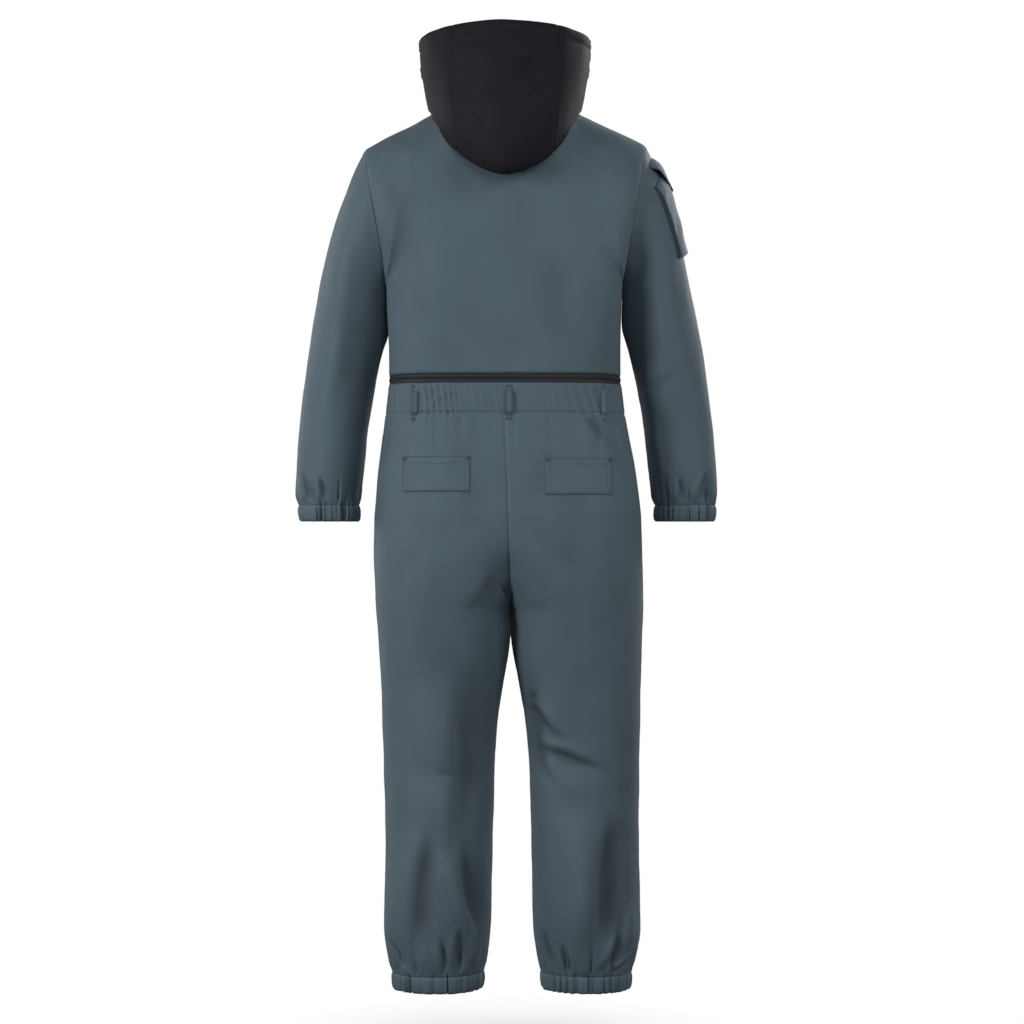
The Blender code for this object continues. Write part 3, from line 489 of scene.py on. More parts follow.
def body(c, drop, side, facing):
    """Points of the trunk or a leg: c is 0 at the middle seam and 1 at the side."""
    c, drop = np.broadcast_arrays(np.asarray(c, float), np.asarray(drop, float))
    row = read(BODY, drop)
    cut = opening(drop) if facing < 0 else np.zeros_like(drop)
    below = below_waist(drop)
    roundness = row["roundness"]
    outwards, inwards = row["outer"] - row["deepest"], row["deepest"] - row["inner"]
    reach = (cut - row["deepest"]) / np.where(cut > row["deepest"], outwards, inwards)
    last = np.arccos(power(np.maximum(-1.0, reach), roundness / 2))
    angle = last * (1 - c ** (1 + (pi / last - 1) * below))
    turn = np.cos(angle)
    x = row["deepest"] + np.where(turn > 0, outwards, inwards) * power(turn, 2 / roundness)
    deep = row["back"] if facing > 0 else row["front"]
    y = deep * power(np.sin(angle), 2 / roundness) - fold_depth(c, drop, side, facing)
    return np.stack([row["lean"] + side * x, facing * y, -drop], -1)


print("waist section", body([0, 0.5, 1], 0.46, 1, 1).round(3).tolist())

# %% The sleeves and the hood


def sway(side):
    """How far a cuff hangs out from the body. The right sleeve's hangs further."""
    return SLEEVE_SWAY if side < 0 else 0.0


def sleeve(ring, angle, side):
    """Points of a sleeve: the angle is 0 outside, 90 degrees behind and 180 at the inner side."""
    ring, angle = np.broadcast_arrays(np.asarray(ring, float), np.asarray(angle, float))
    row = read(SLEEVE, ring)
    outer, inner = (1 + np.cos(angle)) / 2, (1 - np.cos(angle)) / 2
    x = row["outer_x"] * outer + row["inner_x"] * inner + sway(side) * (ring / SLEEVE["ring"][-1]) ** 2
    z = row["outer_z"] * outer + row["inner_z"] * inner + tip_rise(side) * np.maximum(0, 1 - ring) * outer
    return np.stack([MIDDLE + side * x, row["middle"] + row["depth"] * np.sin(angle), z], -1)


def hood(row_at, angle):
    """Points of the hood: the angle is 0 at the back and 180 degrees at the front, with sides."""
    row_at, angle = np.broadcast_arrays(np.asarray(row_at, float), np.asarray(angle, float))
    row = read(HOOD, row_at)
    side = np.where(angle >= 0, 1, -1)
    back = np.abs(angle) < pi / 2
    parting = (ZIP_HALF + HOOD_PARTING * (row_at / HOOD_RIM_ROW) ** 2) * (2 * np.abs(angle) / pi - 1)
    x = row["half_width"] * np.abs(np.sin(angle)) + np.where(back, 0, parting)
    reach = np.where(back, row["back"], -row["front"]) - row["side_y"]
    height = np.where(back, row["back_z"], row["front_z"])
    along = np.sqrt(np.maximum(0.0, 1 - (x / row["half_width"]) ** 2))
    z = row["side_z"] + (height - row["side_z"]) * along**2
    x, y = MIDDLE + side * x, row["side_y"] + reach * along
    under = shoulder_top(x, y) + HOOD_REST * np.minimum(row_at, 1.0)
    z = np.where(np.isnan(under), z, np.fmax(z, under)) + HOOD_LIFT
    return np.stack([x, y, z], -1)


print("hood's rim behind", hood([HOOD_RIM_ROW], [0.0]).round(3).tolist())

# %% [markdown]
# ## Finishes
# The suit is woven polyester with a dry, faintly shiny face. Its weave is far finer than a
# millimetre, so it is bump, worked out from pattern coordinates that follow the cloth. The same
# weave serves the shell, the hood and the zip tape at different sizes, so it is a node group that
# is built once. A second group gives the dye its unevenness, pales the sewn edges a little, partly
# as rubbed wear and partly as a painted highlight, and paints shade down in the folds.

# %% Node groups and sums


def new_group(name, inputs, outputs):
    """An empty node group with named float or colour sockets."""
    group = bpy.data.node_groups.new(name, "ShaderNodeTree")
    kinds = {"float": "NodeSocketFloat", "colour": "NodeSocketColor"}
    for label, kind, value in inputs:
        socket = group.interface.new_socket(label, in_out="INPUT", socket_type=kinds[kind])
        socket.default_value = value
    for label, kind in outputs:
        group.interface.new_socket(label, in_out="OUTPUT", socket_type=kinds[kind])
    return group, group.nodes.new("NodeGroupInput"), group.nodes.new("NodeGroupOutput")


def maths(tree, operation, *values):
    """A Math node. Each value is a number or another node's output."""
    (node,) = add_nodes(tree, "Math")
    node.operation = operation
    for socket, value in zip(node.inputs, values):
        if isinstance(value, (int, float)):
            socket.default_value = value
        else:
            tree.links.new(value, socket)
    return node.outputs[0]


def balanced(tree, source, middle, spread):
    """An output that wanders about 0.5, laid evenly about another middle."""
    return maths(tree, "ADD", maths(tree, "MULTIPLY", source, spread), middle - spread / 2)


# %% The weave: threads that pass over and under each other
SLUB_SCALE = 900.0


def make_weave():
    """Height of a plain weave. Threads is how many lie in a metre."""
    inputs = [("Threads", "float", 1800.0), ("Slub", "float", 0.25)]
    group, given, wanted = new_group("plain weave", inputs, [("Height", "float")])
    uv, parts, slubs = add_nodes(group, "UVMap", "SeparateXYZ", "TexNoise")
    uv.uv_map = "UVMap"
    set_inputs(slubs, {"Scale": SLUB_SCALE})
    connect(group, (uv.outputs["UV"], parts.inputs[0]), (uv.outputs["UV"], slubs.inputs["Vector"]))
    waves = []
    for axis in ("X", "Y"):
        turns = maths(group, "MULTIPLY", parts.outputs[axis], given.outputs["Threads"])
        waves.append(maths(group, "SINE", maths(group, "MULTIPLY", turns, 2 * pi)))
    rough = maths(group, "MULTIPLY", slubs.outputs[0], given.outputs["Slub"])
    height = maths(group, "ADD", maths(group, "MULTIPLY", *waves), rough)
    connect(group, (height, wanted.inputs["Height"]))
    return group


WEAVE = make_weave()
print(WEAVE.name, "of", len(WEAVE.nodes), "nodes")

# %% The dye: soft unevenness, sewn edges paled by wear and a painted highlight, and painted shade in the folds
# How much the painted shade, in the folds and along sewn-on edges, darkens the colour.
PAINTED_SHADE_STRENGTH = 0.45
CLOUD_SCALE = 9.0
SPECK_SCALE = 620.0
LEAST_RUB_HIGHLIGHT = 0.2


def make_dye_and_painted_light():
    """A colour that wanders over the cloth, pales along its seams with wear and a painted highlight, and
    takes painted shade in its folds.
    """
    inputs = [
        ("Colour", "colour", (0.5, 0.5, 0.5, 1)),
        ("Rubbed_highlight", "colour", (0.6, 0.6, 0.6, 1)),
        ("Unevenness", "float", 0.10),
    ]
    group, given, wanted = new_group("dye_and_painted_light", inputs, [("Colour", "colour"), ("Mask", "float")])
    kinds = ("TexCoord", "TexNoise", "TexNoise", "Attribute", "Attribute", "VectorMath", "Mix")
    place, cloudy, specks, fold, seam, tinted, mixed = add_nodes(group, *kinds)
    set_inputs(cloudy, {"Scale": CLOUD_SCALE, "Detail": 3.0})
    set_inputs(specks, {"Scale": SPECK_SCALE})
    fold.attribute_name, seam.attribute_name = "fold", "seam"
    tinted.operation, mixed.data_type = "SCALE", "RGBA"
    both = maths(group, "ADD", cloudy.outputs[0], specks.outputs[0])
    centred = maths(group, "SUBTRACT", both, 1.0)
    gain = maths(group, "ADD", maths(group, "MULTIPLY", centred, given.outputs["Unevenness"]), 1.0)
    # Painted shade: the colour darkens where the fold mark is high.
    gain = maths(group, "SUBTRACT", gain, maths(group, "MULTIPLY", fold.outputs["Fac"], PAINTED_SHADE_STRENGTH))
    # The sewn edges pale, partly as rubbed wear and partly as a painted highlight.
    worn_and_highlit = maths(group, "ADD", specks.outputs[0], LEAST_RUB_HIGHLIGHT)
    connect(
        group,
        (place.outputs["Object"], cloudy.inputs["Vector"]),
        (place.outputs["Object"], specks.inputs["Vector"]),
        (given.outputs["Colour"], tinted.inputs[0]),
        (gain, tinted.inputs["Scale"]),
        (maths(group, "MULTIPLY", seam.outputs["Fac"], worn_and_highlit), mixed.inputs["Factor"]),
        (tinted.outputs[0], mixed.inputs[6]),
        (given.outputs["Rubbed_highlight"], mixed.inputs[7]),
        (mixed.outputs[2], wanted.inputs["Colour"]),
        (maths(group, "ADD", centred, 0.5), wanted.inputs["Mask"]),
    )
    return group


DYE_AND_PAINTED_LIGHT = make_dye_and_painted_light()
print(DYE_AND_PAINTED_LIGHT.name, "of", len(DYE_AND_PAINTED_LIGHT.nodes), "nodes")

# %% Cloth, thread and metal
CLOTHS = {
    # colour, paler edge colour (rubbed wear and painted highlight), roughness, sheen, shine, threads in a
    # metre, weave depth, unevenness
    "shell": ((0.076, 0.115, 0.144), (0.094, 0.138, 0.170), 0.66, 0.10, 0.35, 1500.0, 0.00006, 0.16),
    "hood": ((0.0104, 0.0102, 0.0150), (0.0130, 0.0126, 0.0175), 0.72, 0.0, 0.18, 1500.0, 0.00006, 0.16),
    "tape": ((0.017, 0.019, 0.024), (0.024, 0.027, 0.033), 0.62, 0.05, 0.35, 900.0, 0.00010, 0.20),
}
SOLIDS = {
    # colour, roughness, metallic
    "thread": ((0.050, 0.076, 0.096), 0.72, 0.0),
    "hood_thread": ((0.0075, 0.0073, 0.0100), 0.70, 0.0),
    "coil": ((0.016, 0.017, 0.021), 0.38, 0.0),
    "metal": ((0.090, 0.094, 0.100), 0.34, 0.9),
}
ROUGHNESS_SPREAD = 0.12
GRAIN_SCALE = 1400.0
BUMP_STRENGTH = 0.5


def woven(name, colour, rubbed_highlight, roughness, sheen, shine, threads, depth, unevenness):
    """A cloth material: dye with painted shade and highlight, weave and sheen."""
    material, tree, shader = new_material(name)
    dye_and_painted_light, weave, bump = add_nodes(tree, "Group", "Group", "Bump")
    dye_and_painted_light.node_tree, weave.node_tree = DYE_AND_PAINTED_LIGHT, WEAVE
    set_inputs(dye_and_painted_light, {"Colour": (*colour, 1), "Rubbed_highlight": (*rubbed_highlight, 1), "Unevenness": unevenness})
    set_inputs(weave, {"Threads": threads})
    set_inputs(bump, {"Strength": BUMP_STRENGTH, "Distance": depth})
    set_inputs(shader, {"Sheen Weight": sheen, "Sheen Roughness": 0.5, "Specular IOR Level": shine})
    connect(
        tree,
        (weave.outputs["Height"], bump.inputs["Height"]),
        (bump.outputs[0], shader.inputs["Normal"]),
        (dye_and_painted_light.outputs["Colour"], shader.inputs["Base Color"]),
        (balanced(tree, dye_and_painted_light.outputs["Mask"], roughness, ROUGHNESS_SPREAD), shader.inputs["Roughness"]),
    )
    return material


def plain(name, colour, roughness, metallic):
    """Thread, plastic or metal, with fine grain in its colour and gloss."""
    material, tree, shader = new_material(name)
    place, grain, tone = add_nodes(tree, "TexCoord", "TexNoise", "Mix")
    tone.data_type = "RGBA"
    set_inputs(grain, {"Scale": GRAIN_SCALE})
    set_inputs(tone, {6: (*(0.75 * c for c in colour), 1), 7: (*(1.25 * c for c in colour), 1)})
    set_inputs(shader, {"Metallic": metallic})
    connect(
        tree,
        (place.outputs["Object"], grain.inputs["Vector"]),
        (grain.outputs[0], tone.inputs["Factor"]),
        (tone.outputs[2], shader.inputs["Base Color"]),
        (balanced(tree, grain.outputs[0], roughness, ROUGHNESS_SPREAD), shader.inputs["Roughness"]),
    )
    return material


MATERIALS = {name: woven(name, *values) for name, values in CLOTHS.items()}
MATERIALS.update({name: plain(name, *values) for name, values in SOLIDS.items()})
print("finishes:", ", ".join(MATERIALS))

# %% [markdown]
# ## From points to cloth
# A panel is a net of rows and columns. Where the cloth is gathered, a row has twice as many points,
# because small puffs need them and flat cloth doesn't. Near a seam the rows and columns close up,
# so that the sewn edge can roll in. The net is made a mesh, and Solidify gives it a wall.

# %% How a panel's rows and columns are spaced
NEAR_SEAM = np.array([0.0, 0.0013, 0.0028, 0.0048, 0.0078])
STEP = 0.0052
FINE_STEP = 0.0026


def steps(length, start_sewn=True, end_sewn=True, step=STEP):
    """Distances along a length, close together towards an end that is sewn."""
    start = NEAR_SEAM if start_sewn else NEAR_SEAM[:1]
    end = length - (NEAR_SEAM if end_sewn else NEAR_SEAM[:1])[::-1]
    between = max(1, round((end[0] - start[-1]) / step))
    return np.concatenate([start[:-1], np.linspace(start[-1], end[0], between + 1), end[1:]])


def downs(top, bottom, start_sewn=True, end_sewn=True, fine_top=0.0, fine_bottom=0.0):
    """The drops of a panel's rows, each with whether it is a fine one."""
    stops = [top, top + fine_top, bottom - fine_bottom, bottom]
    fine = [True, False, True]
    found = []
    for k, (low, high) in enumerate(zip(stops, stops[1:])):
        if high - low > 1e-6:
            step = FINE_STEP if fine[k] else STEP
            made = steps(high - low, start_sewn and low == top, end_sewn and high == bottom, step)
            found += [(low + d, fine[k]) for d in made]
    rows = {}
    for drop, is_fine in found:
        key = round(drop, 6)
        rows[key] = rows.get(key, False) or is_fine
    return sorted(rows.items())


def halved(values):
    """The same values with one more half way between each pair."""
    fine = np.empty(2 * len(values) - 1)
    fine[::2], fine[1::2] = values, (values[:-1] + values[1:]) / 2
    return fine


QUARTER_GIRTH = 0.27
YOKE_LENGTH = 0.30
COLUMNS = halved(steps(QUARTER_GIRTH) / QUARTER_GIRTH)
ALPHAS = steps(YOKE_LENGTH) / YOKE_LENGTH * pi
print(len(COLUMNS), "fine columns to a quarter,", len(ALPHAS), "yoke rows")


# %% One panel: a net of points, measured along the cloth


def distances(points):
    """How far each point of a line lies from its start, along the line."""
    return np.concatenate([[0], np.cumsum(np.linalg.norm(np.diff(points, axis=0), axis=1))])


class Panel:
    """A net of rows. A row has twice the columns of its neighbour where the cloth is gathered."""

    def __init__(self, name, rows, finish="shell", wall=WALL, sewn="", effects=(), zone="trunk", side=0):
        self.name, self.finish, self.wall, self.effects = name, finish, wall, effects
        self.zone, self.side = zone, side
        self.lengths = [len(row) for row in rows]
        self.starts = np.concatenate([[0], np.cumsum(self.lengths)[:-1]])
        self.points = np.concatenate(rows)
        self.measure()
        reach = {"t": self.from_top, "b": self.from_bottom, "l": self.from_left, "r": self.from_right}
        far = np.full(len(self.points), 1.0)
        self.from_seam = np.min([reach[edge] for edge in sewn] + [far], axis=0)
        self.faces = self.net()

    def row(self, i, values=None):
        """The points of row i, or other values that are given for each point."""
        values = self.points if values is None else values
        return values[self.starts[i] : self.starts[i] + self.lengths[i]]

    def measure(self):
        """How far each point lies from each edge, along the cloth."""
        coarse = min(self.lengths)
        nets = [self.row(i) for i in range(len(self.lengths))]
        across = [distances(net) for net in nets]
        thin = np.array([net if len(net) == coarse else net[::2] for net in nets])
        steps_down = np.linalg.norm(np.diff(thin, axis=0), axis=2)
        down = np.concatenate([np.zeros((1, coarse)), np.cumsum(steps_down, axis=0)])
        along = [d if len(net) == coarse else halved(d) for d, net in zip(down, nets)]
        total = [down[-1] if len(net) == coarse else halved(down[-1]) for net in nets]
        self.from_left = np.concatenate(across)
        self.from_right = np.concatenate([a[-1] - a for a in across])
        self.from_top = np.concatenate(along)
        self.from_bottom = np.concatenate([t - d for t, d in zip(total, along)])
        centred = np.concatenate([a - a[-1] / 2 for a in across])
        self.uv = np.stack([centred, -self.from_top], -1)

    def net(self):
        """The faces between each row and the next, with their outer side outwards."""
        faces = []
        ids = [list(range(s, s + n)) for s, n in zip(self.starts, self.lengths)]
        for above, below in zip(ids, ids[1:]):
            if len(above) == len(below):
                faces += [(above[j], below[j], below[j + 1], above[j + 1]) for j in range(len(above) - 1)]
            elif len(above) < len(below):
                for j in range(len(above) - 1):
                    p, q, r = below[2 * j : 2 * j + 3]
                    faces += [(above[j], p, q), (above[j], q, above[j + 1]), (above[j + 1], q, r)]
            else:
                for j in range(len(below) - 1):
                    p, q, r = above[2 * j : 2 * j + 3]
                    faces += [(p, below[j], q), (q, below[j], below[j + 1]), (q, below[j + 1], r)]
        return faces


# %% The skin that panels share, and their sheets
SAME_PLACE = 2e-5
SHARP_RIM = radians(50)
SHAPED, PIECES = {}, {}


def face_normals(points, faces):
    """Each face's normal, as long as twice its area."""
    corners = np.array([(*face, face[0]) if len(face) == 3 else face for face in faces])
    a, b, c, d = (points[corners[:, k]] for k in range(4))
    triangle = np.array([len(face) == 3 for face in faces])
    crossed = np.where(triangle[:, None], np.cross(b - a, c - a), np.cross(c - a, d - b))
    return corners, crossed


def share_normals(panels):
    """Gives every point a normal that it shares with the points of other panels at its place."""
    points = np.concatenate([panel.points for panel in panels])
    keys = np.round(points / SAME_PLACE).astype(np.int64)
    places, where = np.unique(keys, axis=0, return_inverse=True)
    where = where.reshape(-1)
    total = np.zeros((len(places), 3))
    start = 0
    for panel in panels:
        corners, crossed = face_normals(panel.points, panel.faces)
        for k in range(4):
            np.add.at(total, where[start + corners[:, k]], crossed)
        panel.span = (start, start + len(panel.points))
        start = panel.span[1]
    total /= np.maximum(np.linalg.norm(total, axis=1, keepdims=True), 1e-12)
    for panel in panels:
        panel.normals = total[where[panel.span[0] : panel.span[1]]]


def make_sheet(panel, lift, **marks):
    """Lifts a panel off its form and makes it a sheet, with marks that its finish reads."""
    panel.shaped = panel.points + panel.normals * lift[:, None]
    mesh = bpy.data.meshes.new(f"{panel.name}_cloth")
    mesh.from_pydata(panel.shaped.tolist(), [], panel.faces)
    layer = mesh.uv_layers.new(name="UVMap")
    loops = np.empty(len(mesh.loops), np.int32)
    mesh.loops.foreach_get("vertex_index", loops)
    layer.data.foreach_set("uv", panel.uv[loops].astype(np.float32).ravel())
    mesh.shade_smooth()
    mesh.materials.append(MATERIALS[panel.finish])
    for mark, values in marks.items():
        layer = mesh.attributes.new(mark, "FLOAT", "POINT")
        layer.data.foreach_set("value", values.astype(np.float32))
    piece = add_object(mesh.name, mesh)
    give_wall(piece, panel.wall)
    SHAPED[panel.name], PIECES[panel.name] = panel, piece
    print(f"{piece.name}: {len(piece.data.polygons)} faces")


def give_wall(made, wall):
    """Solidify, laid on inwards and applied, with its rims kept sharp."""
    made.modifiers.new("Wall", "SOLIDIFY").thickness = wall
    made.modifiers["Wall"].offset = -1
    select_only(made)
    bpy.ops.object.modifier_apply(modifier="Wall")
    bpy.ops.object.shade_smooth_by_angle(angle=SHARP_RIM)


def select_only(made):
    """Deselects everything else, because an operator works on all that is selected."""
    bpy.ops.object.select_all(action="DESELECT")
    made.select_set(True)
    bpy.context.view_layer.objects.active = made


# %% [markdown]
# ## What cloth does
# Sewn cloth is never quite flat. Elastic gathers it into puffs with narrow valleys between, a seam
# rolls in and puckers, and the weight of the suit pulls long soft folds. Each of these is a small
# function that says how far the cloth is lifted, and a panel adds up the ones that it needs.

# %% Wandering numbers, gathers and folds


def drift(points, size, seed):
    """A smooth wandering number for each point, about -1 to 1. size is how wide its waves are."""
    moved = np.asarray(points) / np.asarray(size) + (seed * 7.31, seed * 3.17, seed * 5.57)
    return np.array([noise.noise(Vector(point)) for point in moved]) * 1.6


def round_about(turn, scale, seed):
    """A number that wanders with an angle and closes up after a whole turn."""
    circle = np.stack([np.cos(turn) * scale, np.sin(turn) * scale, np.zeros_like(turn)], -1)
    return drift(circle, 1.0, seed)


def puffs(turn, count, seed, uneven=0.9):
    """Rounded puffs with narrow valleys between them, uneven in width and in height."""
    wander = round_about(turn, 2.5, seed) + 0.6 * round_about(turn, 6.0, seed + 1)
    phase = count * turn / 2 + uneven * wander
    height = 0.75 + 0.7 * round_about(turn, 4.0, seed + 2)
    return (2 * np.abs(np.sin(phase)) ** 0.7 - 1.3) * np.maximum(height, 0.12)


def trunk_turn(panel):
    """The angle round the trunk, eased so that it runs evenly along the cloth."""
    x, y, _ = panel.points.T
    return np.arctan2(1.3 * y, x - MIDDLE)


def leg_turn(panel):
    """The angle round a leg."""
    x, y, z = panel.points.T
    row = read(BODY, np.clip(-z, 0.29, LEG_END))
    return np.arctan2(y, x - row["lean"] - panel.side * row["deepest"])


def arm_turn(panel):
    """The angle round a sleeve's cuff."""
    x, y, _ = panel.points.T
    cuff = {name: values[-1] for name, values in SLEEVE.items()}
    middle = MIDDLE + panel.side * ((cuff["outer_x"] + cuff["inner_x"]) / 2 + sway(panel.side))
    return np.arctan2(y - cuff["middle"], x - middle)


# %% The effects that every panel adds up
LONG_WAVES, LONG_LIFT = (0.075, 0.075, 0.24), 0.0021
SHORT_WAVES, SHORT_LIFT = (0.030, 0.030, 0.055), 0.0006
PUCKER, PUCKER_SIZE, PUCKER_REACH = 0.0005, 0.010, 0.007
SEAM_DEPTH, SEAM_HALF = 0.0014, 0.0020


def bell(off, half):
    """1 at an offset of nought, and almost 0 from twice the half width on."""
    return np.exp(-((off / half) ** 2))


def rumple(panel):
    """Long, soft unevenness that hangs down the cloth, with a finer one on top."""
    return drift(panel.points, LONG_WAVES, 3) * LONG_LIFT + drift(panel.points, SHORT_WAVES, 5) * SHORT_LIFT


def sewn_edge(panel):
    """A seam rolls in, and its thread puckers the cloth beside it."""
    d = panel.from_seam
    pucker = drift(panel.points, PUCKER_SIZE, 8) * PUCKER * np.exp(-d / PUCKER_REACH)
    return pucker - SEAM_DEPTH * bell(d, SEAM_HALF)


# %% What elastic does to the waist, the hems and the cuffs
SLANT, SLANT_WANDER = 0.9, 0.07
WAIST_PUFFS, WAIST_LIFT = 84, 0.0016
BELOW_BAND, ABOVE_ZIP, ABOVE_SHARE = 0.016, 0.012, 0.30
SEAT_FOLDS, SEAT_LIFT, SEAT_REACH = 34, 0.0018, 0.040
HEM_PUFFS, CUFF_PUFFS = 30, 22
HEM_UNEVEN, HEM_REACH, CUFF_REACH = 2.4, 0.042, 0.024
SEAM_PUFF, SEAM_REACH = 0.0026, 0.009
HEM_FOLD, HEM_FOLD_FROM = 0.0036, 0.016


def waist_gathers(panel):
    """The waistband's elastic. It gathers most behind, and lets go a little below the band."""
    turn = trunk_turn(panel)
    drop = -panel.points[:, 2]
    slant = SLANT_WANDER * drift(panel.points, (0.10, 0.10, 0.20), 21) - SLANT * (drop - ZIP_BOTTOM)
    inside = smooth(drop - ZIP_BOTTOM, 0.008)
    below = np.exp(-np.maximum(drop - BAND_BOTTOM, 0) / BELOW_BAND)
    above = np.exp(-np.maximum(ZIP_TOP - drop, 0) / ABOVE_ZIP)
    strength = np.where(drop > ZIP_TOP + 1e-6, inside * below, ABOVE_SHARE * above)
    strong = 0.55 + 0.45 * np.sin(turn)
    patchy = np.clip(0.95 + 0.6 * drift(panel.points, (0.06, 0.06, 0.30), 23), 0.55, 1.4)
    return strength * strong * patchy * puffs(turn + slant, WAIST_PUFFS, 30) * WAIST_LIFT


def waist_folds(panel):
    """Wider folds that run on down from the waistband into the seat."""
    below = np.maximum(-panel.points[:, 2] - BAND_BOTTOM, 0)
    strength = smooth(below, 0.010) * np.exp(-below / SEAT_REACH)
    return strength * puffs(trunk_turn(panel), SEAT_FOLDS, 37) * SEAT_LIFT


def hem_gathers(turn, distance, count, seed, reach):
    """What a casing's elastic does to the cloth above it: small puffs, and longer folds."""
    small = puffs(turn, count, seed, HEM_UNEVEN) * SEAM_PUFF * np.exp(-distance / SEAM_REACH)
    long_ones = puffs(turn, round(count / 2.6), seed + 5, 1.6) * HEM_FOLD
    beyond = np.maximum(distance - HEM_FOLD_FROM, 0)
    grown = smooth(distance, HEM_FOLD_FROM) * np.exp(-(beyond / reach) ** 1.3)
    return small + long_ones * grown


def leg_gathers(panel):
    """The gathers above a leg's hem."""
    distance = LEG_END + panel.points[:, 2]
    return hem_gathers(leg_turn(panel), distance, HEM_PUFFS, 41 + panel.side, HEM_REACH)


def cuff_gathers(panel):
    """The gathers above a sleeve's cuff."""
    distance = np.maximum(panel.points[:, 2] + CUFF_CASING["drop"][0], 0)
    return hem_gathers(arm_turn(panel), distance, CUFF_PUFFS, 51 + panel.side, CUFF_REACH)


print("elastic:", WAIST_PUFFS, "puffs round the waist,", HEM_PUFFS, "at a hem,", CUFF_PUFFS, "at a cuff")


# %% [markdown]
# ## Creases placed one by one
# These are the folds that make this suit look like itself: the sag across the yoke, the fork of
# folds at the seat, wrinkles behind the knees, bunched cloth above the hems and cuffs, and the dents
# in the hood's bowl. Each is a soft trough with a raised lip on one side, drawn from one end to the
# other on the back or the front. A negative depth makes a ridge instead.

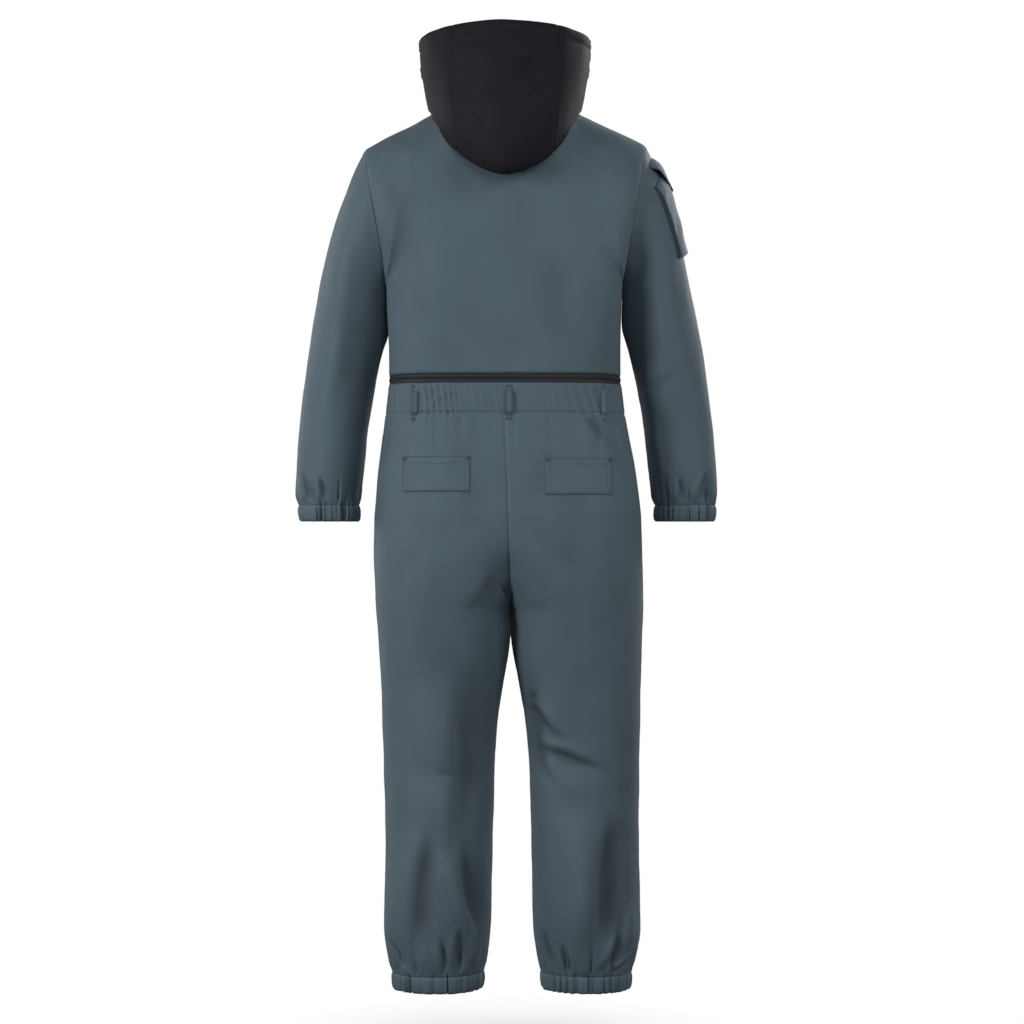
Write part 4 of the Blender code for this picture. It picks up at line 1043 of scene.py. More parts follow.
# %% The creases of the trunk, the legs, the sleeves and the hood
CREASES = {
    # zone and side of the suit: x and z of both ends, depth, spread and bow, in millimetres
    ("trunk", 1): [
        # the yoke and back, from the armholes and the hood
        (228, -40, 170, -68, 1.4, 12, 4),
        (208, -28, 130, -62, 1.6, 16, 5),
        (200, -90, 160, -200, 1.2, 24, 10),
        (120, -110, 95, -240, 1.2, 28, 8),
        (55, -180, 30, -420, 0.8, 30, 10),
        (-60, -200, -75, -430, 0.9, 32, -12),
        (-150, -240, -165, -420, 1.2, 28, 8),
        # the seat, from the belt loops and the crotch
        (-131, -528, -168, -570, 5.2, 10, -5),
        (-158, -532, -200, -640, 3, 14, -8),
        (150, -535, 185, -640, 1.8, 14, 8),
        (75, -540, 60, -700, 2, 20, 6),
        (-60, -545, -40, -690, 2, 22, -8),
        (-64, -585, -96, -612, 2.2, 8, 3),
        (12, -775, 75, -870, 2.6, 16, -10),
        (7, -812, -16, -846, 5.8, 8, 3),
        (-12, -815, -22, -892, -3.6, 9, 2),
        (-10, -832, -12, -930, 4.6, 10, 2),
        (-30, -700, -150, -800, 1.8, 28, 12),
        (120, -720, 205, -850, 1.8, 30, 10),
        # the wearer's right leg, from behind
        (-34, -1021, -55, -1004, 5.2, 9, -3),
        (-100, -1096, -28, -1014, 9.2, 13, 4),
        (-66, -1170, -40, -960, 7, 22, 0),
        (-170, -1136, -40, -1094, 7.6, 12, 5),
        (-90, -1170, -49, -1106, 3, 10, 2),
        (-138, -1470, -126, -1170, -11, 34, 4),
        (-190, -1200, -170, -1450, 8, 26, 6),
        (-60, -1405, -85, -1489, 6.4, 9, 4),
        (-94, -1430, -110, -1489, 5, 8, 2),
        (-198, -1412, -165, -1489, 7.4, 10, -5),
        (-222, -1452, -176, -1489, 6.2, 7, -4),
        (-213, -1360, -203, -1455, -4.6, 10, -3),
        # the wearer's left leg, from behind
        (120, -1128, 92, -1152, 3.4, 10, 2),
        (104, -1300, 112, -940, -11, 36, 4),
        (122, -1215, 152, -1470, 10, 24, 10),
        (56, -1440, 114, -1260, -7.4, 18, 4),
        (68, -1240, 50, -1420, 5.6, 20, 4),
        (79, -1398, 83, -1489, 7, 9, 2),
        (114, -1420, 104, -1489, 6, 9, -3),
        (59, -1395, 55, -1489, -4, 9, 1),
        (200, -1425, 160, -1489, 5.6, 9, 4),
    ],
    ("trunk", -1): [
        (205, -80, 90, -160, 2.6, 16, 10),
        (-205, -80, -100, -175, 2.8, 16, -10),
        (185, -260, 90, -400, 2.4, 24, 12),
        (-190, -250, -110, -430, 2.4, 22, -12),
        (50, -540, 110, -690, 2.4, 22, 10),
        (-80, -540, -130, -680, 2.6, 20, -10),
        (15, -800, 120, -740, 4.8, 14, -8),
        (-15, -790, -130, -750, 4.4, 15, 8),
        (20, -860, 110, -880, 3.4, 14, 6),
        (-20, -850, -95, -900, 3.6, 13, -6),
        (45, -1090, 150, -1150, 6, 11, 6),
        (180, -1180, 80, -1210, 4, 12, 6),
        (-70, -1150, -190, -1100, 5.6, 11, -6),
        (-200, -1300, -150, -1450, 4, 20, 8),
        (110, -1330, 130, -1489, 4.4, 14, 6),
        (180, -1420, 160, -1489, 5.4, 9, 3),
        (-90, -1410, -110, -1489, 5.6, 9, 3),
    ],
    ("left", 1): [
        (316, -560, 262, -130, -7, 30, 4),
        (300, -330, 235, -395, 2.6, 18, 8),
        (325, -420, 245, -470, 2.2, 20, 6),
        (357, -620, 338, -676, 6.2, 7, 2),
        (327, -625, 317, -676, 6.8, 7, -3),
    ],
    ("left", -1): [
        (300, -350, 235, -420, 4.6, 12, 8),
        (320, -400, 240, -460, 4, 12, 6),
        (255, -250, 225, -340, 3.4, 16, 6),
    ],
    ("right", 1): [
        (-252, -130, -296, -560, -8, 34, 0),
        (-300, -440, -245, -480, 2.4, 18, -6),
        (-275, -500, -290, -640, 2.2, 20, 8),
        (-352, -615, -340, -676, 6.2, 8, 2),
        (-300, -625, -305, -676, 5.2, 7, -2),
    ],
    ("right", -1): [
        (-300, -360, -235, -410, 4.4, 12, -8),
        (-325, -420, -245, -470, 3.8, 13, -6),
        (-250, -240, -225, -350, 3.4, 16, -6),
    ],
    ("hood", 1): [
        (-70, 80, -5, 46, 4.4, 14, 4),
        (-87, 38, -34, 5, 3.8, 9, 3),
        (90, 58, 60, -12, 3.2, 13, 6),
        (46, 8, -20, 18, 2.2, 14, 4),
        (54, -28, 30, -44, 2.8, 8, 2),
        (100, 100, 24, 108, 2, 8, 3),
        (70, 78, 22, 82, -2.8, 16, 3),
    ],
}
LIP = 0.45
END_FADE = 0.38
CRISP = 0.55
FACING_FADE = 0.45


def creases(panel):
    """All the creases of the panel's zone that lie on its side of the suit."""
    x, _, z = panel.points.T
    found = np.zeros(len(x))
    for facing, crease in [(way, row) for way in (1, -1) for row in CREASES.get((panel.zone, way), ())]:
        x0, z0, x1, z1, depth, wide_at, bow = (value / 1000 for value in crease)
        run = np.array([x1 - x0, z1 - z0])
        length = np.hypot(*run)
        ahead, beside = run / length, np.array([-run[1], run[0]]) / length
        t = np.clip(((x - x0) * ahead[0] + (z - z0) * ahead[1]) / length, 0, 1)
        off = (x - x0) * beside[0] + (z - z0) * beside[1] - bow * 4 * t * (1 - t)
        wide = wide_at * (0.65 + 0.5 * t)
        steep = np.where(off > 0, wide * CRISP, wide)
        trough = bell(off, steep) - LIP * bell(off - 1.3 * wide, 0.8 * wide)
        on_side = smooth(facing * panel.normals[:, 1], FACING_FADE)
        found -= depth * trough * smooth(t, END_FADE) * smooth(1 - t, END_FADE) * on_side
    return found * (1 - np.exp(-panel.from_seam / 0.006))


print(sum(len(rows) for rows in CREASES.values()), "creases placed by hand")

# %% [markdown]
# ## The panels of the suit
# A maker cuts a back, two fronts, four trouser pieces, a waistband in three lengths and two
# sleeves. Here each is a `Panel`: the same form read between its own edges, with the effects that
# its cloth shows. Neighbours use the same rows and columns along their seam, so they meet exactly.

# %% Rows across the trunk
FLY_ROWS = (FLY_END, FLY_POINT)
SHELL_EFFECTS = (rumple, sewn_edge, creases)


def columns_for(is_fine):
    """All the columns for a fine row, and every second one for a coarse row."""
    return COLUMNS if is_fine else COLUMNS[::2]


def behind(make, c):
    """A row of the back, from the wearer's left side to the right one."""
    return np.concatenate([make(c[::-1], 1), make(c[1:], -1)])


def all_round(drop, c):
    """A row from the front's left edge, round the back, to its right edge."""
    back = behind(lambda cs, side: body(cs, drop, side, 1), c)
    return np.concatenate([body(c[:-1], drop, 1, -1), back, body(c[-2::-1], drop, -1, -1)])


UPPER_DROPS = downs(-UNDERARM_Z, ZIP_TOP, start_sewn=False, fine_bottom=0.016)
ZIP_DROPS = downs(ZIP_TOP, ZIP_BOTTOM, fine_top=ZIP_BOTTOM - ZIP_TOP)
BAND_DROPS = downs(ZIP_BOTTOM, BAND_BOTTOM, fine_top=BAND_BOTTOM - ZIP_BOTTOM)
TROUSER_DROPS = downs(BAND_BOTTOM, LEG_END, fine_top=0.052, fine_bottom=0.100)
TROUSER_DROPS = sorted(TROUSER_DROPS + [(drop, False) for drop in FLY_ROWS])
print(len(UPPER_DROPS), "rows above the waist,", len(TROUSER_DROPS), "below")

# %% The back and the fronts


def upper_back():
    """The yoke and back in one piece, down to the waist's zip."""
    rows = [behind(lambda c, side: yoke(c, alpha, side, 1), columns_for(False)) for alpha in ALPHAS[:-1]]
    rows += [behind(lambda c, side: body(c, d, side, 1), columns_for(fine)) for d, fine in UPPER_DROPS]
    return Panel("back_upper", rows, sewn="tblr", effects=(*SHELL_EFFECTS, waist_gathers))


def upper_front(side):
    """One front, from the shoulder down to the waist's zip."""
    rows = [yoke(columns_for(False), alpha, side, -1) for alpha in ALPHAS[:-1]]
    rows += [body(columns_for(fine), d, side, -1) for d, fine in UPPER_DROPS]
    if side < 0:
        rows = [row[::-1] for row in rows]
    sewn = "tbr" if side > 0 else "tbl"
    effects = (*SHELL_EFFECTS, waist_gathers)
    return Panel(f"front_upper_{SIDES[side]}", rows, sewn=sewn, effects=effects, side=side)


# %% The waistband and the trousers


def waistband():
    """Three lengths of one band, joined at the sides."""
    rows = [all_round(d, COLUMNS) for d, _ in BAND_DROPS]
    left, right = len(COLUMNS), 3 * len(COLUMNS) - 2
    spans = {
        "waistband_front_left": (0, left, "tbr"),
        "waistband_back": (left - 1, right, "tblr"),
        "waistband_front_right": (right - 1, len(rows[0]), "tbl"),
    }
    effects = (rumple, sewn_edge, waist_gathers)
    return [
        Panel(name, [row[first:last] for row in rows], sewn=sewn, effects=effects)
        for name, (first, last, sewn) in spans.items()
    ]


def trouser(side, facing):
    """One of the four pieces of the trousers, from the waistband to a hem."""
    rows = [body(columns_for(fine), d, side, facing) for d, fine in TROUSER_DROPS]
    if side * facing > 0:
        rows = [row[::-1] for row in rows]
    name = f"trouser_{'back' if facing > 0 else 'front'}_{SIDES[side]}"
    effects = (*SHELL_EFFECTS, waist_gathers, waist_folds, leg_gathers)
    return Panel(name, rows, sewn="tblr", effects=effects, side=side)


# %% The sleeves
SLEEVE_LENGTH = 0.62
FINE_FROM_RING = 9.3
SLEEVE_TURNS = halved(np.concatenate([-ALPHAS[::-1], ALPHAS[1:]]))


def sleeve_tube(side):
    """One sleeve, closed by a seam along its inner side."""
    last = SLEEVE["ring"][-1]
    coarse = steps(SLEEVE_LENGTH, end_sewn=False) / SLEEVE_LENGTH * last
    coarse = coarse[coarse < FINE_FROM_RING - 0.05]
    ring_length = SLEEVE_LENGTH / last
    fine = steps((last - FINE_FROM_RING) * ring_length, start_sewn=False, step=FINE_STEP) / ring_length
    rings = [(ring, False) for ring in coarse] + [(FINE_FROM_RING + ring, True) for ring in fine]
    rows = [sleeve(r, side * (SLEEVE_TURNS if f else SLEEVE_TURNS[::2]), side) for r, f in rings]
    effects = (*SHELL_EFFECTS, cuff_gathers)
    return Panel(f"sleeve_{SIDES[side]}", rows, sewn="tblr", effects=effects, zone=SIDES[side], side=side)


# %% [markdown]
# A casing is a folded strip with elastic inside. Its top is the very edge that it is sewn to, and
# it runs down to a smaller ring, so each casing starts as the last row of its sleeve or leg.

# %% The gathered casings of the cuffs and the hems
CASING_BULGE = 0.0014
CASING_PUFF = 0.0036
HEM_ROLL = 0.0022


def casing(name, top_row, sizes, lean, side, count, seed, turn_of):
    """A gathered ring that starts at the row it is sewn to and ends at a smaller one."""
    foot = {key: values[-1] for key, values in sizes.items()}
    height = foot["drop"] - sizes["drop"][0]
    middle = lean + side * (foot["outer"] + foot["inner"]) / 2, (foot["back"] - foot["front"]) / 2
    half = (foot["outer"] - foot["inner"]) / 2, (foot["back"] + foot["front"]) / 2
    low, high = top_row[:, :2].min(axis=0), top_row[:, :2].max(axis=0)
    turn = np.arctan2(*((top_row[:, :2] - (low + high) / 2) / ((high - low) / 2)).T[::-1])
    ring = [m + h * way for m, h, way in zip(middle, half, (np.cos(turn), np.sin(turn)))]
    foot_row = np.stack([*ring, np.full_like(turn, -foot["drop"])], -1)
    shares = steps(height, step=FINE_STEP) / height
    rows = [top_row + (foot_row - top_row) * share for share in shares]

    def elastic(panel):
        share = np.clip(panel.from_top / height, 0, 1)
        swell = np.sin(pi * share)
        puffed = puffs(turn_of(panel), count, seed, HEM_UNEVEN)
        size = SEAM_PUFF + (CASING_PUFF - SEAM_PUFF) * smooth(share, 0.4)
        rolled = HEM_ROLL * bell(panel.from_bottom, 0.0022)
        return puffed * size + CASING_BULGE * swell - rolled

    return Panel(name, rows, sewn="tlr", effects=(rumple, sewn_edge, elastic), side=side)


def leg_ring(side):
    """The last row of both trouser pieces, anticlockwise from the inseam."""
    front, back = body(COLUMNS, LEG_END, side, -1), body(COLUMNS, LEG_END, side, 1)
    first, second = (front, back) if side > 0 else (back, front)
    return np.concatenate([first, second[-2::-1]])


def leg_hem(side):
    """The gathered hem of a leg."""
    lean, name = BODY["lean"][-1], f"leg_hem_{SIDES[side]}"
    return casing(name, leg_ring(side), LEG_CASING, lean, side, HEM_PUFFS, 41 + side, leg_turn)


def cuff(side):
    """The gathered cuff of a sleeve."""
    top_row = sleeve(SLEEVE["ring"][-1], side * SLEEVE_TURNS, side)
    lean, name = MIDDLE + side * sway(side), f"cuff_{SIDES[side]}"
    return casing(name, top_row, CUFF_CASING, lean, side, CUFF_PUFFS, 51 + side, arm_turn)


# %% [markdown]
# ## The hood
# The hood is turned back: it rises from the neck's seam, folds over, hangs down the back as a deep
# bowl and comes up again to its free rim. Its centre panel and two sides are sewn together, and a
# channel for a drawcord runs round the rim.

# %% The hood's three panels
HOOD_LENGTH = 0.46
HOOD_SIDE_GIRTH = 0.33
HOOD_CENTRE_GIRTH = 0.20
HOOD_NECK_ANGLE = radians(45)
HOOD_SEAMED_ROW = 6
RIM_CHANNEL = 0.020
CHANNEL_LIFT = 0.0012
CHANNEL_GROOVE = 0.0016
RIM_ROLL = 0.0016


def hood_seam(row_at):
    """The angle of the seam between the hood's centre and its side."""
    eased = np.minimum(row_at / HOOD_SEAMED_ROW, 1.0)
    return HOOD_NECK_ANGLE + (HOOD_CENTRE_ANGLE - HOOD_NECK_ANGLE) * eased


def hood_rim(panel):
    """The drawcord's channel: a sewn groove below the rim, and a soft roll at the edge."""
    d = panel.from_bottom
    channel = CHANNEL_LIFT * smooth(RIM_CHANNEL - d, 0.008) * smooth(d, 0.006)
    sewn = CHANNEL_GROOVE * bell(d - RIM_CHANNEL, 0.0016)
    puckers = PUCKER * drift(panel.points, (0.009, 0.009, 0.012), 91) * bell(d - RIM_CHANNEL, 0.010)
    return channel - sewn + puckers - RIM_ROLL * bell(d, 0.0020)


def hood_panels():
    """The centre panel and both sides, which meet along two seams."""
    rows_at = steps(HOOD_LENGTH) / HOOD_LENGTH * HOOD_RIM_ROW
    across = steps(HOOD_CENTRE_GIRTH) / HOOD_CENTRE_GIRTH * 2 - 1
    beside = steps(HOOD_SIDE_GIRTH) / HOOD_SIDE_GIRTH
    centre = [hood(r, across * hood_seam(r)) for r in rows_at]
    left = [hood(r, hood_seam(r) + (pi - hood_seam(r)) * beside) for r in rows_at]
    right = [hood(r, -(hood_seam(r) + (pi - hood_seam(r)) * beside)[::-1]) for r in rows_at]
    effects = (*SHELL_EFFECTS, hood_rim)
    common = {"finish": "hood", "wall": HOOD_WALL, "effects": effects, "zone": "hood"}
    return [
        Panel("hood_centre", centre, sewn="tlr", **common),
        Panel("hood_side_left", left, sewn="tl", **common),
        Panel("hood_side_right", right, sewn="tr", **common),
    ]


# %% [markdown]
# ## Zips
# Each zip is a woven tape with a nylon coil down its middle. One runs down the front from the neck
# to the fly, and one goes right round the waist, so that the seat can be dropped. The tape is a
# panel too, a little below its neighbours. The coil comes later, because it lies on the tape.

# %% The tapes
TAPE_SINK = 0.0011
TAPE_SWELL = 0.0004


def tape_form(panel):
    """The tape lies below the folded edges beside it, and swells a little over its coil."""
    edge = np.minimum.reduce([panel.from_left, panel.from_right, panel.from_top, panel.from_bottom])
    across = panel.from_left if panel.name == "front_zip" else panel.from_top
    return -TAPE_SINK * smooth(edge, 0.0012) + TAPE_SWELL * bell(across - ZIP_HALF, 0.0032)


def waist_zip():
    """The tape that goes right round the waist."""
    rows = [all_round(d, COLUMNS) for d, _ in ZIP_DROPS]
    return Panel("waist_zip", rows, "tape", TAPE_WALL, effects=(rumple, tape_form))


def front_edges():
    """The front's left edge from the neck to the fly's point, and the middle line beside it."""
    edge = [yoke([0.0], alpha, 1, -1)[0] for alpha in ALPHAS[:-1]]
    drops = [d for d, _ in UPPER_DROPS + BAND_DROPS + TROUSER_DROPS[1:] if d <= FLY_POINT]
    edge += [body([0.0], d, 1, -1)[0] for d in drops]
    return np.array(edge)


def middle_x(z):
    """The middle plane's place across, which leans a little below the underarm."""
    return np.where(z >= UNDERARM_Z, MIDDLE, read(BODY, np.maximum(-z, -UNDERARM_Z))["lean"])


def front_zip():
    """The front's tape: one edge, its mirrored twin, and the cloth between them."""
    edge = front_edges()
    far = edge * (-1, 1, 1)
    far[:, 0] += 2 * middle_x(edge[:, 2])
    shares = steps(2 * ZIP_HALF, step=0.0016) / (2 * ZIP_HALF)
    rows = [a + (b - a) * shares[:, None] for a, b in zip(far, edge)]
    return Panel("front_zip", rows, "tape", TAPE_WALL, effects=(rumple, tape_form))


# %% Cut, shape and sew all the panels
# How deep a fold is drawn in before its painted shade is full.
FOLD_FULLY_SHADED = 0.0080
# How wide the paler band along a seam is: partly rubbed wear, partly a painted highlight.
RUBBED_HIGHLIGHT_WIDTH = 0.0016

PANELS = [upper_back(), *waistband(), waist_zip(), front_zip()]
for side in SIDES:
    PANELS += [upper_front(side), sleeve_tube(side), trouser(side, 1), trouser(side, -1)]
    PANELS += [cuff(side), leg_hem(side)]
PANELS += hood_panels()
share_normals(PANELS)

for panel in PANELS:
    lift = sum(effect(panel) for effect in panel.effects)
    # The seam mark pales the sewn edges, partly as rubbed wear and partly as a painted highlight; the fold
    # mark is painted shade that grows as the cloth is drawn in.
    rubbed_highlight, folded = np.exp(-panel.from_seam / RUBBED_HIGHLIGHT_WIDTH), np.clip(-lift / FOLD_FULLY_SHADED, 0, 1)
    make_sheet(panel, lift, seam=rubbed_highlight, fold=folded)

# %% [markdown]
# ## Pieces sewn on
# Pockets and belt loops are cut from the same cloth and laid on the finished panels. Each starts as
# points on the form, is dropped onto the cloth below it, and is then lifted by its own thickness.

# %% Finding the face of the finished cloth
REACH = 0.05
# How wide the painted shade along a sewn-on piece's edge is.
PAINTED_EDGE_SHADE_WIDTH = 0.0012


def tree_of(*names):
    """A search tree of finished panels."""
    points, faces, start = [], [], 0
    for name in names:
        panel = SHAPED[name]
        points.append(panel.shaped)
        faces += [tuple(start + int(i) for i in face) for face in panel.faces]
        start += len(panel.shaped)
    return BVHTree.FromPolygons(np.concatenate(points).tolist(), faces)


def on_cloth(tree, points, outwards):
    """The places on the cloth straight under these points, seen from outside."""
    flat, ways = points.reshape(-1, 3), np.broadcast_to(outwards, points.shape).reshape(-1, 3)
    found = flat.copy()
    for i, (point, way) in enumerate(zip(flat, ways)):
        hit = tree.ray_cast(Vector(point + way * REACH), -Vector(way), 2 * REACH)[0]
        if hit is not None:
            found[i] = hit
    return found.reshape(points.shape)


def evened(grid, times):
    """The same grid with its bumps smoothed away, as a stiffer cloth bridges them."""
    for _ in range(times):
        inner = (grid[:-2, 1:-1] + grid[2:, 1:-1] + grid[1:-1, :-2] + grid[1:-1, 2:]) / 4
        grid = grid.copy()
        grid[1:-1, 1:-1] = inner
    return grid


def sew_on(name, grid, form, wall):
    """A patch of shell cloth over a grid of places, lifted by its form, with painted shade along its edge.
    """
    panel = Panel(name, list(grid), wall=wall, sewn="tblr")
    share_normals([panel])
    make_sheet(panel, form(panel), fold=np.exp(-panel.from_seam / PAINTED_EDGE_SHADE_WIDTH))


BACKWARDS = np.array([0.0, 1.0, 0.0])
BACK_TREE = tree_of("trouser_back_left", "trouser_back_right", "waistband_back", "waist_zip")
START_Y = 0.1


def laid_behind(across, drops, sag=0.0):
    """A grid of places on the back's cloth: what lies across, at each drop, less the sag."""
    rows = [np.stack(np.broadcast_arrays(across, START_Y, sag - drop), -1) for drop in drops]
    return on_cloth(BACK_TREE, np.array(rows), BACKWARDS)


print("the back's cloth is ready to sew on")

# %% The two pockets behind
BACK_POCKETS = [
    # side, middle, width, top, bottom
    (1, 0.1180, 0.116, 0.5945, 0.6560),
    (-1, -0.1240, 0.116, 0.5975, 0.6610),
]
PATCH_STEP = 0.0022
PATCH_HIGH = 0.0022
PATCH_WALL = 0.0018
POCKET_INSET = 0.0095
POCKET_HEM = 0.0135
POCKET_SAG = 0.0012
EDGE_STITCH = 0.0020
EDGE_HIGH = 0.0004
PUCKER_PITCH = 0.0062


def groove(off, depth=0.0006, half=0.0011):
    """A line of stitching draws the cloth down along it."""
    return -depth * bell(off, half)


def pocket_form(panel):
    """A flat patch with double rows of stitches, and a hem at its top that puckers."""
    sides = np.minimum(panel.from_left, panel.from_right)
    edge = np.minimum.reduce([sides, panel.from_top, panel.from_bottom])
    lift = EDGE_HIGH + (PATCH_HIGH - EDGE_HIGH) * smooth(edge, 0.0015)
    stitched = (sides - POCKET_INSET, sides - EDGE_STITCH, panel.from_bottom - EDGE_STITCH)
    for off in (*stitched, panel.from_top - POCKET_HEM):
        lift = lift + groove(off)
    along = panel.uv[:, 0] + 0.45 * panel.uv[:, 1] + 0.004 * drift(panel.points, 0.020, 61)
    uneven = 0.6 + 0.8 * drift(panel.points, 0.030, 62)
    in_hem = smooth(panel.from_top, 0.002) * smooth(POCKET_HEM - panel.from_top, 0.004)
    at_foot = np.exp(-panel.from_bottom / 0.004) * smooth(panel.from_bottom, 0.002)
    puckers = np.sin(2 * pi * along / PUCKER_PITCH) * uneven * (in_hem + 0.8 * at_foot)
    return lift + PUCKER * puckers + 0.0006 * drift(panel.points, 0.030, 63) * smooth(edge, 0.02)


for pocket_side, middle, width, top, bottom in BACK_POCKETS:
    drops = steps(bottom - top, False, False, PATCH_STEP) + top
    across = middle + width / 2 - steps(width, False, False, PATCH_STEP)
    sag = POCKET_SAG * np.sin(pi * (across - across[-1]) / width)
    laid = evened(laid_behind(across, drops, 0.4 * sag), 6)
    sew_on(f"back_pocket_{SIDES[pocket_side]}", laid, pocket_form, PATCH_WALL)

# %% The three belt loops
BELT_LOOPS = {"left": 0.156, "centre": -0.0055, "right": -0.168}
LOOP_WIDTH = 0.011
LOOP_TOP = 0.4725
LOOP_BOTTOM = 0.5330
LOOP_GAP = 0.0060
LOOP_WALL = 0.0018
LOOP_STEPS = (0.0016, 0.0009)
LOOP_RISE = [(0, 0.14), (0.13, 0.14), (0.22, 0.92), (0.36, 1.0)]
LOOP_FALL = [(1 - along, height) for along, height in LOOP_RISE[::-1]]
LOOP_PROFILE = table("along height", [*LOOP_RISE, (0.50, 1.02), *LOOP_FALL])


def loop_form(panel):
    """A strap that is sewn down at both ends and stands away from the band between them."""
    along = panel.from_top / (panel.from_top + panel.from_bottom)
    sides = np.minimum(panel.from_left, panel.from_right)
    ends = np.minimum(panel.from_top, panel.from_bottom)
    lift = LOOP_GAP * read(LOOP_PROFILE, along)["height"] + 0.0006
    rolled, tacked = 0.0007 * bell(np.minimum(sides, ends), 0.0010), 0.0005 * bell(ends - 0.0035, 0.0014)
    return lift - rolled - tacked + groove(sides - 0.0024, 0.0003, 0.0008)


for place, across_at in BELT_LOOPS.items():
    drops = steps(LOOP_BOTTOM - LOOP_TOP, False, False, LOOP_STEPS[0]) + LOOP_TOP
    across = across_at + LOOP_WIDTH / 2 - steps(LOOP_WIDTH, False, False, LOOP_STEPS[1])
    laid = laid_behind(across, drops)
    level = np.pad(laid[:, :, 1].mean(axis=1), 4, "edge")
    laid[:, :, 1] = np.convolve(level, np.ones(9) / 9, "valid")[:, None]
    sew_on(f"belt_loop_{place}", laid, loop_form, LOOP_WALL)

# %% [markdown]
# The cargo pocket on the right sleeve has a bellows round its sides and foot: the wall goes in to a
# fold half way up and out again. The sheet is worked out from that cross-section, because it
# overhangs. The flap over it is sewn along its top only, so its lower edge stands off.

# %% The pocket on the sleeve
ARM_TREE = tree_of("sleeve_right")
POCKET_RINGS = (0.92, 3.04)
POCKET_TURNS = (-43.0, 32.0)
POCKET_BULGE = 0.0086
POCKET_SLACK = 0.0016
POCKET_STEP = 0.0030
ARM_POCKET_WALL = 0.0014
LAY = 0.0003
RING_LENGTH = 0.0665
ARM_RADIUS = 0.083
# The bellows in cross-section: how far in from the edge, and how high as a share of the bulge.
BELLOWS = [
    (0.0000, 0.05), (0.0016, 0.16), (0.0034, 0.26), (0.0046, 0.36), (0.0036, 0.47), (0.0018, 0.60),
    (0.0004, 0.73), (-0.0002, 0.84), (0.0003, 0.94), (0.0014, 1.00), (0.0030, 1.02), (0.0052, 1.00),
]
MOUTH = [(0.0, 0.05), (0.003, 0.35), (0.008, 0.70), (0.016, 0.90), (0.026, 1.00)]


def arm_face(rings, turns):
    """Points on the right sleeve's cloth and their outward directions."""
    rings, turns = np.broadcast_arrays(rings, turns)
    here = sleeve(rings, -turns, -1)
    down, round_it = sleeve(rings + 0.02, -turns, -1) - here, sleeve(rings, -turns - 0.02, -1) - here
    out = np.cross(down, round_it)
    out /= np.linalg.norm(out, axis=-1, keepdims=True)
    return on_cloth(ARM_TREE, here, out), out


def profiled(low, high, start, end, spacing, scale):
    """Places between two ends and their heights, with a cross-section at each end."""
    first = [(low + off / scale, height) for off, height in start]
    last = [(high - off / scale, height) for off, height in end][::-1]
    gap = (last[0][0] - first[-1][0]) * scale
    count = max(2, round(gap / spacing))
    between = [(first[-1][0] + (last[0][0] - first[-1][0]) * k / count, 1.0) for k in range(1, count)]
    return np.array(first + between + last).T


ring_at, ring_high = profiled(*POCKET_RINGS, MOUTH, BELLOWS, POCKET_STEP, RING_LENGTH)
turn_at, turn_high = profiled(*np.radians(POCKET_TURNS), BELLOWS, BELLOWS, POCKET_STEP, ARM_RADIUS)
face, out = arm_face(ring_at[:, None], turn_at[None, :])
face = evened(face, 3)
height = POCKET_BULGE * ring_high[:, None] * turn_high[None, :]
slack = POCKET_SLACK * drift(face.reshape(-1, 3), (0.02, 0.03, 0.045), 71).reshape(height.shape)
flatness = (ring_high[:, None] > 0.97) * (turn_high[None, :] > 0.97)
height = height + LAY + slack * flatness
face = face + out * height[..., None]
sew_on("sleeve_pocket", face, lambda panel: np.zeros(len(panel.points)), ARM_POCKET_WALL)

# %% Its flap
FLAP_RINGS = (0.38, 1.42)
FLAP_BACK_TURNS = (-37.0, -6.0)
FLAP_FRONT_TURN = 35.0
FLAP_OVER = 0.0112
FLAP_WAVE = 0.0010
FLAP_CORNER = 0.0022
FLAP_WALL = 0.0020
FLAP_HEM = 0.0060
FLAP_RISE = table(
    "ring height",
    [(0.38, 0.05), (0.48, 0.40), (0.62, 0.80), (0.80, 0.97), (1.10, 1.0), (1.42, 1.12)],
)

ring_at = np.linspace(*FLAP_RINGS, 32)
share = (ring_at - FLAP_RINGS[0]) / (FLAP_RINGS[1] - FLAP_RINGS[0])
back_turn = FLAP_BACK_TURNS[0] + (FLAP_BACK_TURNS[1] - FLAP_BACK_TURNS[0]) * share[:, None]
turn_at = np.radians(back_turn + (FLAP_FRONT_TURN - back_turn) * np.linspace(0, 1, 50))
face, out = arm_face(ring_at[:, None], turn_at)
wave = FLAP_WAVE * np.sin(turn_at * 5.0 + 0.6) * share[:, None] ** 2
corner = FLAP_CORNER * share[:, None] ** 3 * np.abs(turn_at / radians(50)) ** 4
height = 0.0006 + FLAP_OVER * read(FLAP_RISE, ring_at)["height"][:, None] + wave - corner
face = evened(face, 6) + out * height[..., None]


def flap_form(panel):
    """A hemmed flap: rolled edges and one row of stitches inside them."""
    edge = np.minimum.reduce([panel.from_left, panel.from_right, panel.from_bottom])
    rolled = -0.0008 * bell(edge, 0.0012)
    return rolled + groove(edge - FLAP_HEM, 0.0005) + groove(panel.from_top - EDGE_STITCH, 0.0005)


sew_on("sleeve_pocket_flap", face, flap_form, FLAP_WALL)

# %% [markdown]
# ## Thread and coil
# Seams are held by lockstitch, and stress points by bar tacks. One stitch and one coil tooth are
# modelled, and each is then repeated along a line on the finished cloth, turned to it.
# A whole set of them is one joined mesh.

# %% One stitch and one tooth
STITCH_LENGTH = 0.0023
STITCH_PITCH = 0.0032
THREAD_RADIUS = 0.00026
TOOTH_LENGTH = 0.0028
TOOTH_PITCH = 0.0017
TOOTH_RADIUS = 0.00056
ROD_SHARE = 0.8
DOME = 1.25


